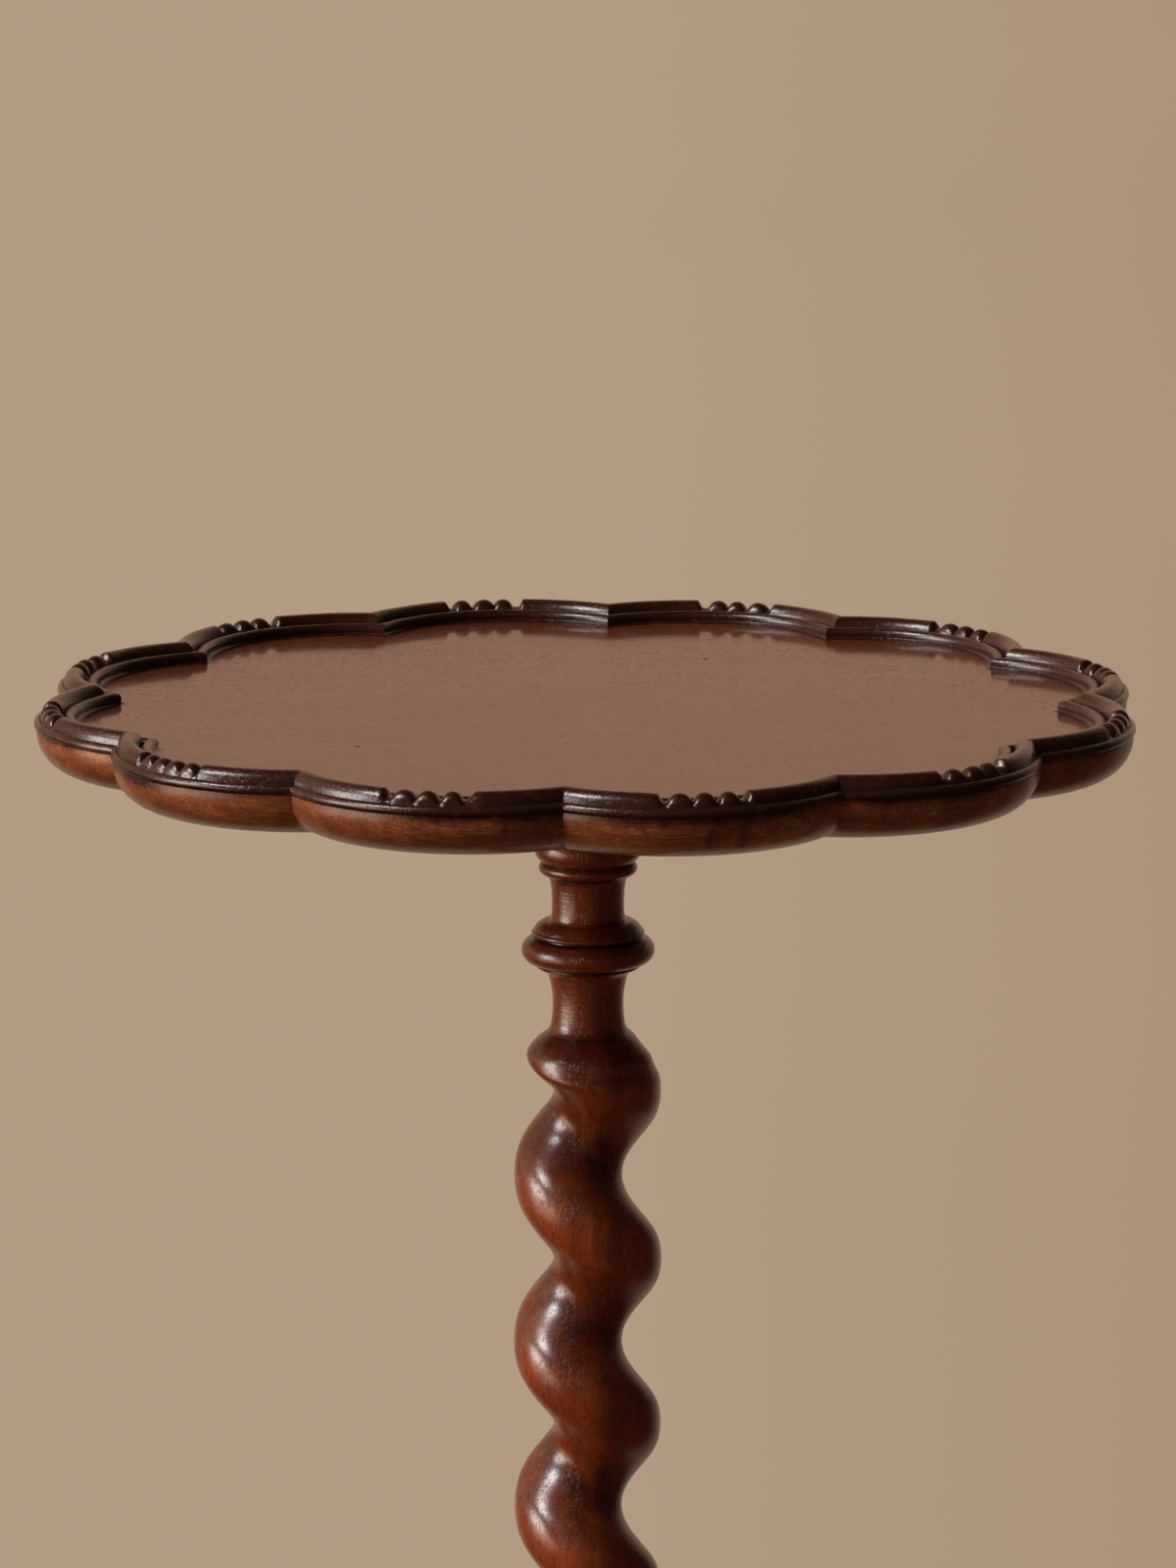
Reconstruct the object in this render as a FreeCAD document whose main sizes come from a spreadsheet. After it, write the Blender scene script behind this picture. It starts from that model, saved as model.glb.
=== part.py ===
import FreeCAD, Part
import math
import os
import re
import Sketcher

# Wine table: a dished piecrust top on a barley-twist column with three cabriole legs.
# Millimetres, +Z up, origin on the floor under the column's axis, the front leg towards -Y.

os.makedirs("parts", exist_ok=True)
doc = FreeCAD.newDocument("wine_table")

sizes = {
    # The whole table
    "table_height": 560.0,
    "cut_overrun": 5.0,
    "glue_gap": 0.1,
    # Table top: round lobes that meet in cusps, dished inside a moulded crest
    "lobe_count": 12,
    "top_turn": -2.54,
    "cusp_radius": 137.0,
    "lobe_swell": 11.0,
    "board_thickness": 18.0,
    "dish_depth": 5.5,
    "crest_half_width": 3.1,
    "crest_slope_width": 1.7,
    "crest_drop": 3.6,
    "quirk_width": 0.3,
    "inner_bead_radius": 1.6,
    "inner_bead_drop": 2.0,
    "outer_bead_radius": 1.5,
    "bowl_reach": 4.0,
    "bowl_round": 12.5,
    # Pearls in the gap that is cut in the middle of each lobe's crest
    "pearl_count": 3,
    "pearl_gap_length": 24.0,
    "pearl_pitch": 6.7,
    "pearl_height": 2.1,
    "pearl_width": 4.7,
    # Boss under the top: a disc on a cove, bored for the column's tenon
    "boss_height": 30.4,
    "boss_disc_radius": 47.0,
    "boss_disc_edge": 4.0,
    "boss_disc_round": 4.0,
    "boss_cove_radius": 36.0,
    "boss_lip_radius": 14.6,
    "boss_lip_height": 2.8,
    "boss_foot_radius": 13.2,
    # Round-headed wood screws
    "screw_shank_radius": 1.6,
    "screw_head_radius": 3.4,
    "screw_head_height": 1.6,
    "screw_gap": 0.1,
    "boss_screw_circle": 38.0,
    "boss_screw_count": 3,
    "boss_screw_length": 16.0,
    # Column: tenon, and the wedge that spreads it
    "tenon_radius": 9.0,
    "kerf_depth": 20.0,
    "kerf_mouth": 3.2,
    "kerf_root": 1.2,
    "wedge_width": 16.5,
    # Column: collar, neck and dome under the boss
    "collar_radius": 13.4,
    "collar_height": 3.3,
    "collar_foot_radius": 11.4,
    "neck_radius": 10.3,
    "neck_fillet_height": 1.2,
    "neck_height": 13.3,
    "dome_radius": 15.4,
    "dome_height": 3.9,
    "bead_quirk_height": 0.5,
    # Column: bead, cove and long neck, above the twist and upside down below it
    "bead_foot_radius": 14.7,
    "bead_reach": 3.8,
    "bead_height": 7.6,
    "bead_fillet_height": 1.0,
    "cove_radius": 14.2,
    "cove_height": 2.9,
    "long_neck_radius": 10.3,
    "long_neck_height": 14.1,
    # Column: the twist, one strand wound left-handed, rounded at both shoulders
    "strand_radius": 15.0,
    "strand_offset": 5.5,
    "twist_pitch": 48.0,
    "twist_start_angle": -48.75,
    "shoulder_height": 11.7,
    # Column: the vase, and the block that takes the legs
    "vase_neck_radius": 12.0,
    "vase_neck_height": 38.0,
    "vase_radius": 22.5,
    "vase_upper_height": 18.0,
    "vase_lower_height": 13.0,
    "vase_foot_radius": 16.0,
    "block_bead_reach": 3.2,
    "block_bead_height": 7.0,
    "block_radius": 25.0,
    "block_height": 64.0,
    "column_foot": 48.0,
    # Flats on the block for the legs' shoulders, with dovetails that slide up into it
    "shoulder_reach": 22.8,
    "dovetail_depth": 9.0,
    "dovetail_neck": 9.0,
    "dovetail_tail": 13.0,
    # Cabriole legs
    "leg_count": 3,
    "front_leg_angle": -90.0,
    "leg_thickness": 20.0,
    "leg_root_height": 50.0,
    "leg_inflection_reach": 85.0,
    "leg_inflection_height": 60.0,
    "leg_instep_radius": 90.0,
    "toe_reach": 140.0,
    "toe_height": 9.0,
    "arch_start": 41.0,
    "arch_reach": 92.0,
    "arch_height": 26.0,
    "heel_reach": 127.0,
    "heel_height": 4.0,
    "ankle_thickness": 15.0,
    # Pad feet
    "foot_circle": 136.0,
    "foot_radius": 14.0,
    "foot_edge_height": 4.5,
    "foot_height": 9.5,
    "foot_top_radius": 8.5,
}

# Small rounds are cut as a few flats, so that the mesh stays light
bead_flat_count = 2
bowl_flat_count = 2
pearl_flat_count = 3
cove_flat_count = 2
shoulder_flat_count = 3
turn_section_count = 6

sheet = doc.addObject("Spreadsheet::Sheet", "sizes")
for row, (alias, number) in enumerate(sizes.items(), start=1):
    sheet.set(f"A{row}", alias)
    sheet.set(f"B{row}", str(number))
    sheet.setAlias(f"B{row}", alias)
doc.recompute()

# Values worked out from the sizes, as expressions
half_lobe = "(180 / lobe_count)"
apex_radius = "(cusp_radius + lobe_swell)"
cusp_forward = f"(cusp_radius * cos({half_lobe}))"
cusp_aside = f"(cusp_radius * sin({half_lobe}))"
lobe_rise = f"({apex_radius} - {cusp_forward})"
lobe_radius = f"(({lobe_rise} ^ 2 + {cusp_aside} ^ 2) / (2 * {lobe_rise}))"
lobe_center = f"({apex_radius} - {lobe_radius})"
dish_level = "(table_height - dish_depth)"
board_under = "(table_height - board_thickness)"
top_angle = f"(top_turn + {half_lobe})"
flange_thickness = "(boss_disc_edge + boss_disc_round)"
flange_foot = f"({board_under} - {flange_thickness})"
boss_foot = f"({board_under} - boss_height)"
bead_level = f"({boss_foot} - collar_height - neck_height - dome_height - bead_quirk_height)"
bead_to_twist = "(bead_height + bead_fillet_height + cove_height + long_neck_height)"
twist_top = f"({bead_level} - {bead_to_twist})"
block_top = "(column_foot + block_height)"
vase_foot = f"({block_top} + block_bead_height)"
vase_top = f"({vase_foot} + vase_lower_height + vase_upper_height + vase_neck_height)"
twist_foot = f"({vase_top} + {bead_to_twist})"


def bound(text):
    """The expression with each size read from the sheet."""
    return re.sub(r"[a-z_]+", lambda word: "sizes." * (word.group() in sizes) + word.group(), text)


def value(text):
    result = sheet.evalExpression(text)
    return float(getattr(result, "Value", result))


def bind(thing, name, text):
    thing.setExpression(name, bound(text))


def origin(body, role):
    return next(item for item in body.Origin.OriginFeatures if item.Role == role)


def column_axis(body):
    return (origin(body, "Z_Axis"), [""])


def new_body(name, angle=None):
    """A piece, turned about the column's axis where an angle is given."""
    body = doc.addObject("PartDesign::Body", name)
    body.Label = name
    if angle:
        body.Placement = FreeCAD.Placement(
            FreeCAD.Vector(), FreeCAD.Rotation(FreeCAD.Vector(0, 0, 1), 1))
        bind(body, "Placement.Rotation.Angle", angle)
    return body


def new_sketch(body, name, plane, right="0", up="0", out="0", turn="0"):
    """A sketch on one of the body's own planes, shifted in it and off it, and turned about its
    own upright axis."""
    sketch = body.newObject("Sketcher::SketchObject", name)
    sketch.AttachmentSupport = (origin(body, plane), [""])
    sketch.MapMode = "FlatFace"
    if turn != "0":
        sketch.AttachmentOffset = FreeCAD.Placement(
            FreeCAD.Vector(), FreeCAD.Rotation(FreeCAD.Vector(0, 1, 0), 1))
        bind(sketch, "AttachmentOffset.Rotation.Angle", turn)
    for axis, text in (("x", right), ("y", up), ("z", out)):
        if text != "0":
            bind(sketch, f"AttachmentOffset.Base.{axis}", text)
    return sketch


def arc_between(start, end, radius, turn):
    """The smaller arc from start to end; turn is 1 to the left of the way, -1 to the right."""
    chord = end - start
    rise = math.sqrt(max(radius**2 - chord.Length**2 / 4, 0))
    side = FreeCAD.Vector(-chord.y, chord.x, 0) * (turn / chord.Length)
    center = (start + end) / 2 + side * rise
    first, last = (start, end) if turn > 0 else (end, start)
    angles = [math.atan2(point.y - center.y, point.x - center.x) for point in (first, last)]
    return Part.ArcOfCircle(Part.Circle(center, FreeCAD.Vector(0, 0, 1), radius), *angles)


def tangent_radius(start, end, way):
    """The radius and turn of the arc that leaves start along way and reaches end."""
    chord = end - start
    cross = way.x * chord.y - way.y * chord.x
    return chord.Length**2 / (2 * abs(cross)), math.copysign(1, cross)


def way_at_end(edge, turn):
    """The direction of travel where an edge is left behind."""
    if turn == 0:
        return (edge.EndPoint - edge.StartPoint).normalize()
    spoke = (edge.EndPoint if turn > 0 else edge.StartPoint) - edge.Center
    return FreeCAD.Vector(-spoke.y, spoke.x, 0).normalize() * turn


def pin_corner(sketch, edge, end, corner):
    """Ties one end of an edge to a corner given as two expressions."""
    for axis, (kind, text) in enumerate(zip(("DistanceX", "DistanceY"), corner)):
        if text == "0":
            sketch.addConstraint(Sketcher.Constraint("PointOnObject", edge, end, axis - 2))
            continue
        index = sketch.addConstraint(Sketcher.Constraint(kind, -1, 1, edge, end, value(text)))
        bind(sketch, f"Constraints[{index}]", text)


def draw_outline(sketch, corners):
    """A closed outline. Each corner is (right, up) in expressions, and the edge that leaves it is
    straight, or an arc where the corner adds ("arc", radius, turn) or ("tangent",)."""
    points = [FreeCAD.Vector(value(corner[0]), value(corner[1]), 0) for corner in corners]
    ends = []
    turn = 0
    for step, start in enumerate(points):
        end = points[(step + 1) % len(points)]
        form = corners[step][2:]
        if not form:
            turn = 0
            edge = Part.LineSegment(start, end)
        else:
            radius, turn = ((value(form[1]), form[2]) if form[0] == "arc"
                            else tangent_radius(start, end, way))
            edge = arc_between(start, end, radius, turn)
        way = way_at_end(edge, turn)
        ends.append((sketch.addGeometry(edge), *((2, 1) if turn < 0 else (1, 2))))
    for step, corner in enumerate(corners):
        edge, near, far = ends[step]
        before, before_near, before_far = ends[step - 1]
        joint = "Tangent" if corner[2:3] == ("tangent",) else "Coincident"
        sketch.addConstraint(Sketcher.Constraint(joint, before, before_far, edge, near))
        pin_corner(sketch, edge, near, corner[:2])
        if corner[2:3] == ("arc",):
            index = sketch.addConstraint(Sketcher.Constraint("Radius", edge, value(corner[3])))
            bind(sketch, f"Constraints[{index}]", corner[3])
    return sketch


def draw_circle(sketch, right, up, radius):
    center = FreeCAD.Vector(value(right), value(up), 0)
    edge = sketch.addGeometry(Part.Circle(center, FreeCAD.Vector(0, 0, 1), value(radius)))
    pin_corner(sketch, edge, 3, (right, up))
    index = sketch.addConstraint(Sketcher.Constraint("Radius", edge, value(radius)))
    bind(sketch, f"Constraints[{index}]", radius)
    return sketch


def round_corners(right, up, reach, rise, first, last, count):
    """Corners along a round about (right, up), reach wide and rise high, from the first angle to
    the last in equal steps, both ends with it."""
    angles = [f"({first} + ({last} - {first}) * {step} / {count})" for step in range(count + 1)]
    return [(f"{right} + {reach} * cos({angle})", f"{up} + {rise} * sin({angle})")
            for angle in angles]


def box_corners(left, right, low, high):
    return [(left, low), (right, low), (right, high), (left, high)]


def add_feature(body, kind, name, sketch, **settings):
    """A feature on a sketch. Settings given as text are bound as expressions."""
    feature = body.newObject(f"PartDesign::{kind}", name)
    feature.Profile = (sketch, [""])
    for key, setting in settings.items():
        if isinstance(setting, str):
            bind(feature, key, setting)
        else:
            setattr(feature, key, setting)
    return feature


def turn_about(body, kind, name, sketch, **settings):
    """A revolution or groove about the sketch's own upright axis."""
    return add_feature(body, kind, name, sketch, ReferenceAxis=(sketch, ["V_Axis"]), **settings)


def repeat_round(body, name, features, axis, angle, count):
    """Repeats the features, or the whole body where none is given, about an axis."""
    doc.recompute()
    pattern = body.newObject("PartDesign::PolarPattern", name)
    if features:
        pattern.Originals = features
    else:
        pattern.TransformMode = "Whole shape"
    pattern.Axis = axis
    bind(pattern, "Angle", angle)
    bind(pattern, "Occurrences", count)
    body.Tip = pattern
    doc.recompute()
    return pattern


def cut_hole(body, name, circle, level, depth):
    """A screw's hole, cut upwards from a level on the X side of a circle round the column."""
    hole = new_sketch(body, f"{name}_outline", "XY_Plane", out=level)
    draw_circle(hole, circle, "0", "screw_shank_radius + screw_gap")
    return add_feature(body, "Pocket", name, hole, Reversed=True, Length=depth)


def make_screws(name, circle, count, level, length, angle):
    """Screws driven upwards from a level, in a ring about the column's axis."""
    body = new_body(name, angle)
    body.AllowCompound = True
    screw = new_sketch(body, f"{name}_outline", "XZ_Plane", right=circle)
    draw_outline(screw, [
        ("0", f"{level} - screw_head_height"),
        ("screw_head_radius", f"{level} - screw_head_height"),
        ("screw_head_radius", level),
        ("screw_shank_radius", level),
        ("screw_shank_radius", f"{level} + {length}"),
        ("0", f"{level} + {length}"),
    ])
    turned = turn_about(body, "Revolution", f"{name}_turned", screw)
    repeat_round(body, f"{name}_ring", [turned], column_axis(body), "360", count)
    return body


def make_top():
    body = new_body("table_top", top_angle)
    top_edge = "(table_height + cut_overrun)"
    outside = f"({apex_radius} + bowl_reach + cut_overrun)"
    spread = f"({outside} * tan({half_lobe}))"
    sector = new_sketch(body, "lobe_sector", "XY_Plane", out=board_under)
    draw_outline(sector, [("0", "0"), (outside, f"-{spread}"), (outside, spread)])
    add_feature(body, "Pad", "lobe_board", sector, Length="board_thickness + cut_overrun")

    # The moulding is cut about the lobe's own axis: dish, inner bead, crest, outer bead, bowl
    crest_inner = f"({lobe_radius} - crest_half_width)"
    crest_outer = f"({lobe_radius} + crest_half_width)"
    bead_outer = f"({crest_inner} - quirk_width)"
    bead_inner = f"({bead_outer} - 2 * inner_bead_radius)"
    bead_center = "(table_height - inner_bead_drop - inner_bead_radius)"
    lip_level = "(table_height - crest_drop - 2 * outer_bead_radius)"
    bowl_edge = f"({lobe_radius} + bowl_reach)"
    moulding = new_sketch(body, "edge_moulding", "XZ_Plane", right=lobe_center)
    draw_outline(moulding, [
        ("0", dish_level),
        (bead_inner, dish_level),
        *round_corners(f"({bead_inner} + inner_bead_radius)", bead_center,
                       "inner_bead_radius", "inner_bead_radius", 180, 0, bead_flat_count),
        (crest_inner, "table_height - crest_drop"),
        (f"{crest_inner} + crest_slope_width", "table_height"),
        (f"{crest_outer} - crest_slope_width", "table_height"),
        (crest_outer, "table_height - crest_drop"),
        *round_corners(crest_outer, f"({lip_level} + outer_bead_radius)",
                       "outer_bead_radius", "outer_bead_radius", 90, -90, bead_flat_count)[1:],
        *round_corners(f"({bowl_edge} - bowl_round)", lip_level,
                       "bowl_round", f"({lip_level} - {board_under})", 0, -90, bowl_flat_count),
        (f"{bowl_edge} - bowl_round", f"{board_under} - cut_overrun"),
        (outside, f"{board_under} - cut_overrun"),
        (outside, f"{top_edge} + cut_overrun"),
        ("0", f"{top_edge} + cut_overrun"),
    ])
    turn_about(body, "Groove", "moulded_edge", moulding, Midplane=True, Angle="180")

    middle = new_sketch(body, "dish_middle", "XY_Plane", out=dish_level)
    draw_circle(middle, "0", "0", f"{lobe_center} / cos({half_lobe})")
    add_feature(body, "Pocket", "dish", middle, Reversed=True,
                Length=f"{top_edge} + cut_overrun - {dish_level}")

    gap = new_sketch(body, "pearl_gap", "XZ_Plane", right=lobe_center)
    draw_outline(gap, box_corners(bead_outer, f"{crest_outer} + quirk_width",
                                  "table_height - pearl_height", top_edge))
    turn_about(body, "Groove", "crest_gap", gap, Midplane=True,
               Angle=f"pearl_gap_length / {lobe_radius} * 180 / pi")

    # The first pearl lies across the crest, its lower half sunk in the gap's floor
    pearls_turn = f"(pearl_pitch * (pearl_count - 1) / {lobe_radius} * 180 / pi)"
    half_pearl = "(pearl_width / 2)"
    pearl = new_sketch(body, "pearl_outline", "YZ_Plane",
                       right=f"-{crest_inner} * sin({pearls_turn} / 2)",
                       up=f"table_height - {half_pearl}",
                       out=f"{lobe_center} + {crest_inner} * cos({pearls_turn} / 2)",
                       turn=f"-{pearls_turn} / 2")
    draw_outline(pearl, round_corners("0", "0", half_pearl, half_pearl, 0, 180, pearl_flat_count))
    first_pearl = add_feature(body, "Pad", "pearl", pearl, Length="2 * crest_half_width")
    repeat_round(body, "pearls", [first_pearl], (moulding, ["V_Axis"]), pearls_turn, "pearl_count")
    repeat_round(body, "lobes", [], column_axis(body), "360", "lobe_count")

    pilot_hole = cut_hole(body, "pilot_hole", "boss_screw_circle", board_under,
                          f"boss_screw_length - {flange_thickness} + screw_gap")
    repeat_round(body, "pilot_holes", [pilot_hole], column_axis(body), "360", "boss_screw_count")
    return body


def make_boss():
    body = new_body("top_boss", top_angle)
    bore = "(tenon_radius + glue_gap)"
    lip_head = f"({boss_foot} + boss_lip_height)"
    boss = new_sketch(body, "boss_outline", "XZ_Plane")
    draw_outline(boss, [
        (bore, boss_foot),
        ("boss_foot_radius", boss_foot),
        ("boss_lip_radius", lip_head),
        *round_corners("boss_cove_radius", lip_head, "(boss_lip_radius - boss_cove_radius)",
                       f"({flange_foot} - {lip_head})", 0, 90, cove_flat_count)[1:],
        ("boss_disc_radius - boss_disc_round", flange_foot),
        ("boss_disc_radius", f"{flange_foot} + boss_disc_round"),
        ("boss_disc_radius", board_under),
        (bore, board_under),
    ])
    turn_about(body, "Revolution", "boss", boss)
    hole = cut_hole(body, "flange_hole", "boss_screw_circle", flange_foot, flange_thickness)
    repeat_round(body, "flange_holes", [hole], column_axis(body), "360", "boss_screw_count")
    return body


def kerf_corners():
    """The wedge, and the kerf that it fills, tapering down from the tenon's end."""
    kerf_level = f"({board_under} - kerf_depth)"
    return [
        ("-kerf_root / 2", kerf_level),
        ("kerf_root / 2", kerf_level),
        ("kerf_mouth / 2", board_under),
        ("-kerf_mouth / 2", board_under),
    ]


def make_wedge():
    body = new_body("tenon_wedge", "front_leg_angle")
    wedge = new_sketch(body, "wedge_outline", "XZ_Plane")
    draw_outline(wedge, kerf_corners())
    add_feature(body, "Pad", "wedge", wedge, Midplane=True, Length="wedge_width")
    return body


def stations(level, sign, profile):
    """A turned profile placed on the column. Each of its corners is a radius and a distance from
    level, down the column where sign is "-" and up it where sign is "+"."""
    return [(radius, f"{level} {sign} ({distance})") for radius, distance in profile]


def collar_profile():
    """Collar, neck and dome, from the boss down."""
    dome_foot = "(collar_height + neck_height + dome_height)"
    return [
        *round_corners("collar_foot_radius", "0", "(collar_radius - collar_foot_radius)",
                       "collar_height", 0, 90, cove_flat_count),
        ("neck_radius", "collar_height + neck_fillet_height"),
        *round_corners("neck_radius", dome_foot, "(dome_radius - neck_radius)",
                       "dome_height", -90, 0, cove_flat_count),
    ]


def bead_profile():
    """Bead, cove and long neck, on to the twist."""
    cove_foot = "(bead_height + bead_fillet_height + cove_height)"
    return [
        *round_corners("bead_foot_radius", "(bead_height / 2)", "bead_reach", "(bead_height / 2)",
                       -90, 90, 2 * bead_flat_count),
        *round_corners("cove_radius", cove_foot, "(long_neck_radius - cove_radius)",
                       "cove_height", -90, 0, cove_flat_count),
        ("long_neck_radius", f"{cove_foot} + long_neck_height"),
    ]


def vase_profile():
    """Vase, from the block's bead up."""
    vase_shoulder = "((vase_radius + vase_neck_radius) / 2)"
    vase_middle = "(vase_lower_height + vase_upper_height)"
    return [
        *round_corners("vase_foot_radius", "vase_lower_height",
                       "(vase_radius - vase_foot_radius)", "vase_lower_height", -90, 0,
                       cove_flat_count),
        *round_corners(vase_shoulder, "vase_lower_height", f"(vase_radius - {vase_shoulder})",
                       "vase_upper_height", 0, 90, cove_flat_count)[1:],
        *round_corners(vase_shoulder, f"({vase_middle} + vase_neck_height)",
                       f"(vase_neck_radius - {vase_shoulder})", "vase_neck_height", -90, 0,
                       cove_flat_count)[1:],
    ]


def dovetail_corners(gap):
    """The dovetail in plan, out along X and wider at its inner end, with a gap all round."""
    end = f"(shoulder_reach - dovetail_depth - {gap})"
    return [
        (end, f"dovetail_tail / 2 + {gap}"),
        (end, f"-dovetail_tail / 2 - {gap}"),
        ("shoulder_reach", f"-dovetail_neck / 2 - {gap}"),
        ("shoulder_reach", f"dovetail_neck / 2 + {gap}"),
    ]


def make_column():
    body = new_body("column", "front_leg_angle")
    twist_height = f"({twist_top} - {twist_foot})"
    turns = f"({twist_height} / twist_pitch)"
    count = math.ceil(value(turns) * turn_section_count)
    sections = []
    for number in range(count + 1):
        share = f"({number} / {count})"
        angle = f"(twist_start_angle + 360 * {turns} * {share})"
        section = new_sketch(body, f"strand_section_{number}", "XY_Plane",
                             right=f"strand_offset * cos({angle})",
                             up=f"strand_offset * sin({angle})",
                             out=f"{twist_top} - {twist_height} * {share}")
        sections.append(draw_circle(section, "0", "0", "strand_radius"))
    doc.recompute()
    add_feature(body, "AdditiveLoft", "twist", sections[0], Sections=sections[1:], Ruled=True)

    # Both ends of the strand are rounded into the long necks
    strand_reach = "(strand_radius + strand_offset)"
    for end, level, sign in (("upper", twist_top, "-"), ("lower", twist_foot, "+")):
        shoulder = new_sketch(body, f"{end}_shoulder_outline", "XZ_Plane")
        shoulder_end = f"({level} {sign} shoulder_height)"
        draw_outline(shoulder, [
            *round_corners("long_neck_radius", shoulder_end,
                           f"({strand_reach} - long_neck_radius)",
                           f"({level} - {shoulder_end})", 90, 0, shoulder_flat_count),
            (f"{strand_reach} + cut_overrun", shoulder_end),
            (f"{strand_reach} + cut_overrun", level),
        ])
        turn_about(body, "Groove", f"{end}_shoulder", shoulder)

    upper = new_sketch(body, "upper_turning_outline", "XZ_Plane")
    draw_outline(upper, [
        ("0", twist_top),
        ("0", board_under),
        ("tenon_radius", board_under),
        ("tenon_radius", boss_foot),
        *stations(boss_foot, "-", collar_profile()),
        *stations(bead_level, "-", bead_profile()),
    ])
    turn_about(body, "Revolution", "upper_turning", upper)

    lower = new_sketch(body, "lower_turning_outline", "XZ_Plane")
    bead_middle = f"({block_top} + block_bead_height / 2)"
    draw_outline(lower, [
        ("0", twist_foot),
        ("0", "column_foot"),
        ("block_radius", "column_foot"),
        *round_corners("block_radius", bead_middle, "block_bead_reach",
                       "(block_bead_height / 2)", -90, 90, 2 * bead_flat_count),
        *stations(vase_foot, "+", vase_profile()),
        *stations(vase_top, "+", bead_profile()),
    ])
    turn_about(body, "Revolution", "lower_turning", lower)

    kerf = new_sketch(body, "kerf_outline", "XZ_Plane")
    draw_outline(kerf, kerf_corners())
    add_feature(body, "Pocket", "kerf", kerf, Midplane=True, Length="2 * tenon_radius + cut_overrun")

    # Each leg's shoulders sit on a flat, and its dovetail in a socket that is open below
    socket_height = "leg_root_height + glue_gap"
    flat = new_sketch(body, "leg_flat_outline", "XY_Plane", out="column_foot")
    half_flat = "(leg_thickness / 2 + glue_gap)"
    draw_outline(flat, box_corners("shoulder_reach", "block_radius + cut_overrun",
                                   f"-{half_flat}", half_flat))
    flat_cut = add_feature(body, "Pocket", "leg_flat", flat, Reversed=True, Length=socket_height)
    socket = new_sketch(body, "socket_outline", "XY_Plane", out="column_foot")
    draw_outline(socket, dovetail_corners("glue_gap"))
    socket_cut = add_feature(body, "Pocket", "dovetail_socket", socket, Reversed=True,
                             Length=socket_height)
    repeat_round(body, "leg_joints", [flat_cut, socket_cut], column_axis(body), "360", "leg_count")
    return body


def make_leg(name, angle):
    """A cabriole leg, sawn in an S from a board, with a dovetail on its root and a pad foot."""
    body = new_body(name, angle)
    root_top = "(column_foot + leg_root_height)"
    side = new_sketch(body, f"{name}_side", "XZ_Plane")
    draw_outline(side, [
        ("shoulder_reach", "column_foot"),
        ("arch_start", "column_foot", "tangent"),
        ("arch_reach", "arch_height", "tangent"),
        ("heel_reach", "heel_height"),
        ("toe_reach", "toe_height", "arc", "leg_instep_radius", -1),
        ("leg_inflection_reach", "leg_inflection_height", "tangent"),
        ("block_radius", root_top),
        ("shoulder_reach", root_top),
    ])
    add_feature(body, "Pad", f"{name}_board", side, Midplane=True, Length="leg_thickness")

    # The sides narrow from the knee to the ankle
    half_board = "(leg_thickness / 2)"
    for hand, sign in (("left", ""), ("right", "-")):
        taper = new_sketch(body, f"{name}_{hand}_taper_outline", "XY_Plane")
        draw_outline(taper, [
            ("arch_start", f"{sign}{half_board}"),
            ("foot_circle", f"{sign}(ankle_thickness / 2)"),
            ("foot_circle + foot_radius", f"{sign}(ankle_thickness / 2)"),
            ("foot_circle + foot_radius", f"{sign}({half_board} + cut_overrun)"),
            ("arch_start", f"{sign}({half_board} + cut_overrun)"),
        ])
        add_feature(body, "Pocket", f"{name}_{hand}_taper", taper, Reversed=True,
                    Length=f"{root_top} + cut_overrun")

    tail = new_sketch(body, f"{name}_dovetail_outline", "XY_Plane", out="column_foot")
    draw_outline(tail, dovetail_corners("0"))
    add_feature(body, "Pad", f"{name}_dovetail", tail, Length="leg_root_height")

    foot = new_sketch(body, f"{name}_foot_outline", "XZ_Plane", right="foot_circle")
    draw_outline(foot, [
        ("0", "0"),
        ("foot_radius", "0"),
        ("foot_radius", "foot_edge_height"),
        ("foot_top_radius", "foot_height"),
        ("0", "foot_height"),
    ])
    turn_about(body, "Revolution", f"{name}_foot", foot)

    return body


pieces = [
    make_top(),
    make_boss(),
    make_screws("boss_screws", "boss_screw_circle", "boss_screw_count", flange_foot,
                "boss_screw_length", top_angle),
    make_wedge(),
    make_column(),
    make_leg("front_leg", "front_leg_angle"),
    make_leg("rear_right_leg", "front_leg_angle + 360 / leg_count"),
    make_leg("rear_left_leg", "front_leg_angle - 360 / leg_count"),
]
doc.recompute()

failed = [item.Label for item in doc.Objects if {"Invalid", "Error"} & set(item.State)]
failed += [piece.Label for piece in pieces if piece.Shape.isNull() or not piece.Shape.isValid()]
if failed:
    raise RuntimeError(f"not built: {failed}")
for piece in pieces:
    piece.Shape.exportStep(f"parts/{piece.Label}.step")
    print(piece.Label, len(piece.Shape.Solids), "solids", round(piece.Shape.Volume), "mm3")
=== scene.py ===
import math

import bmesh
import bpy
from mathutils import Matrix, Vector, noise


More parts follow.
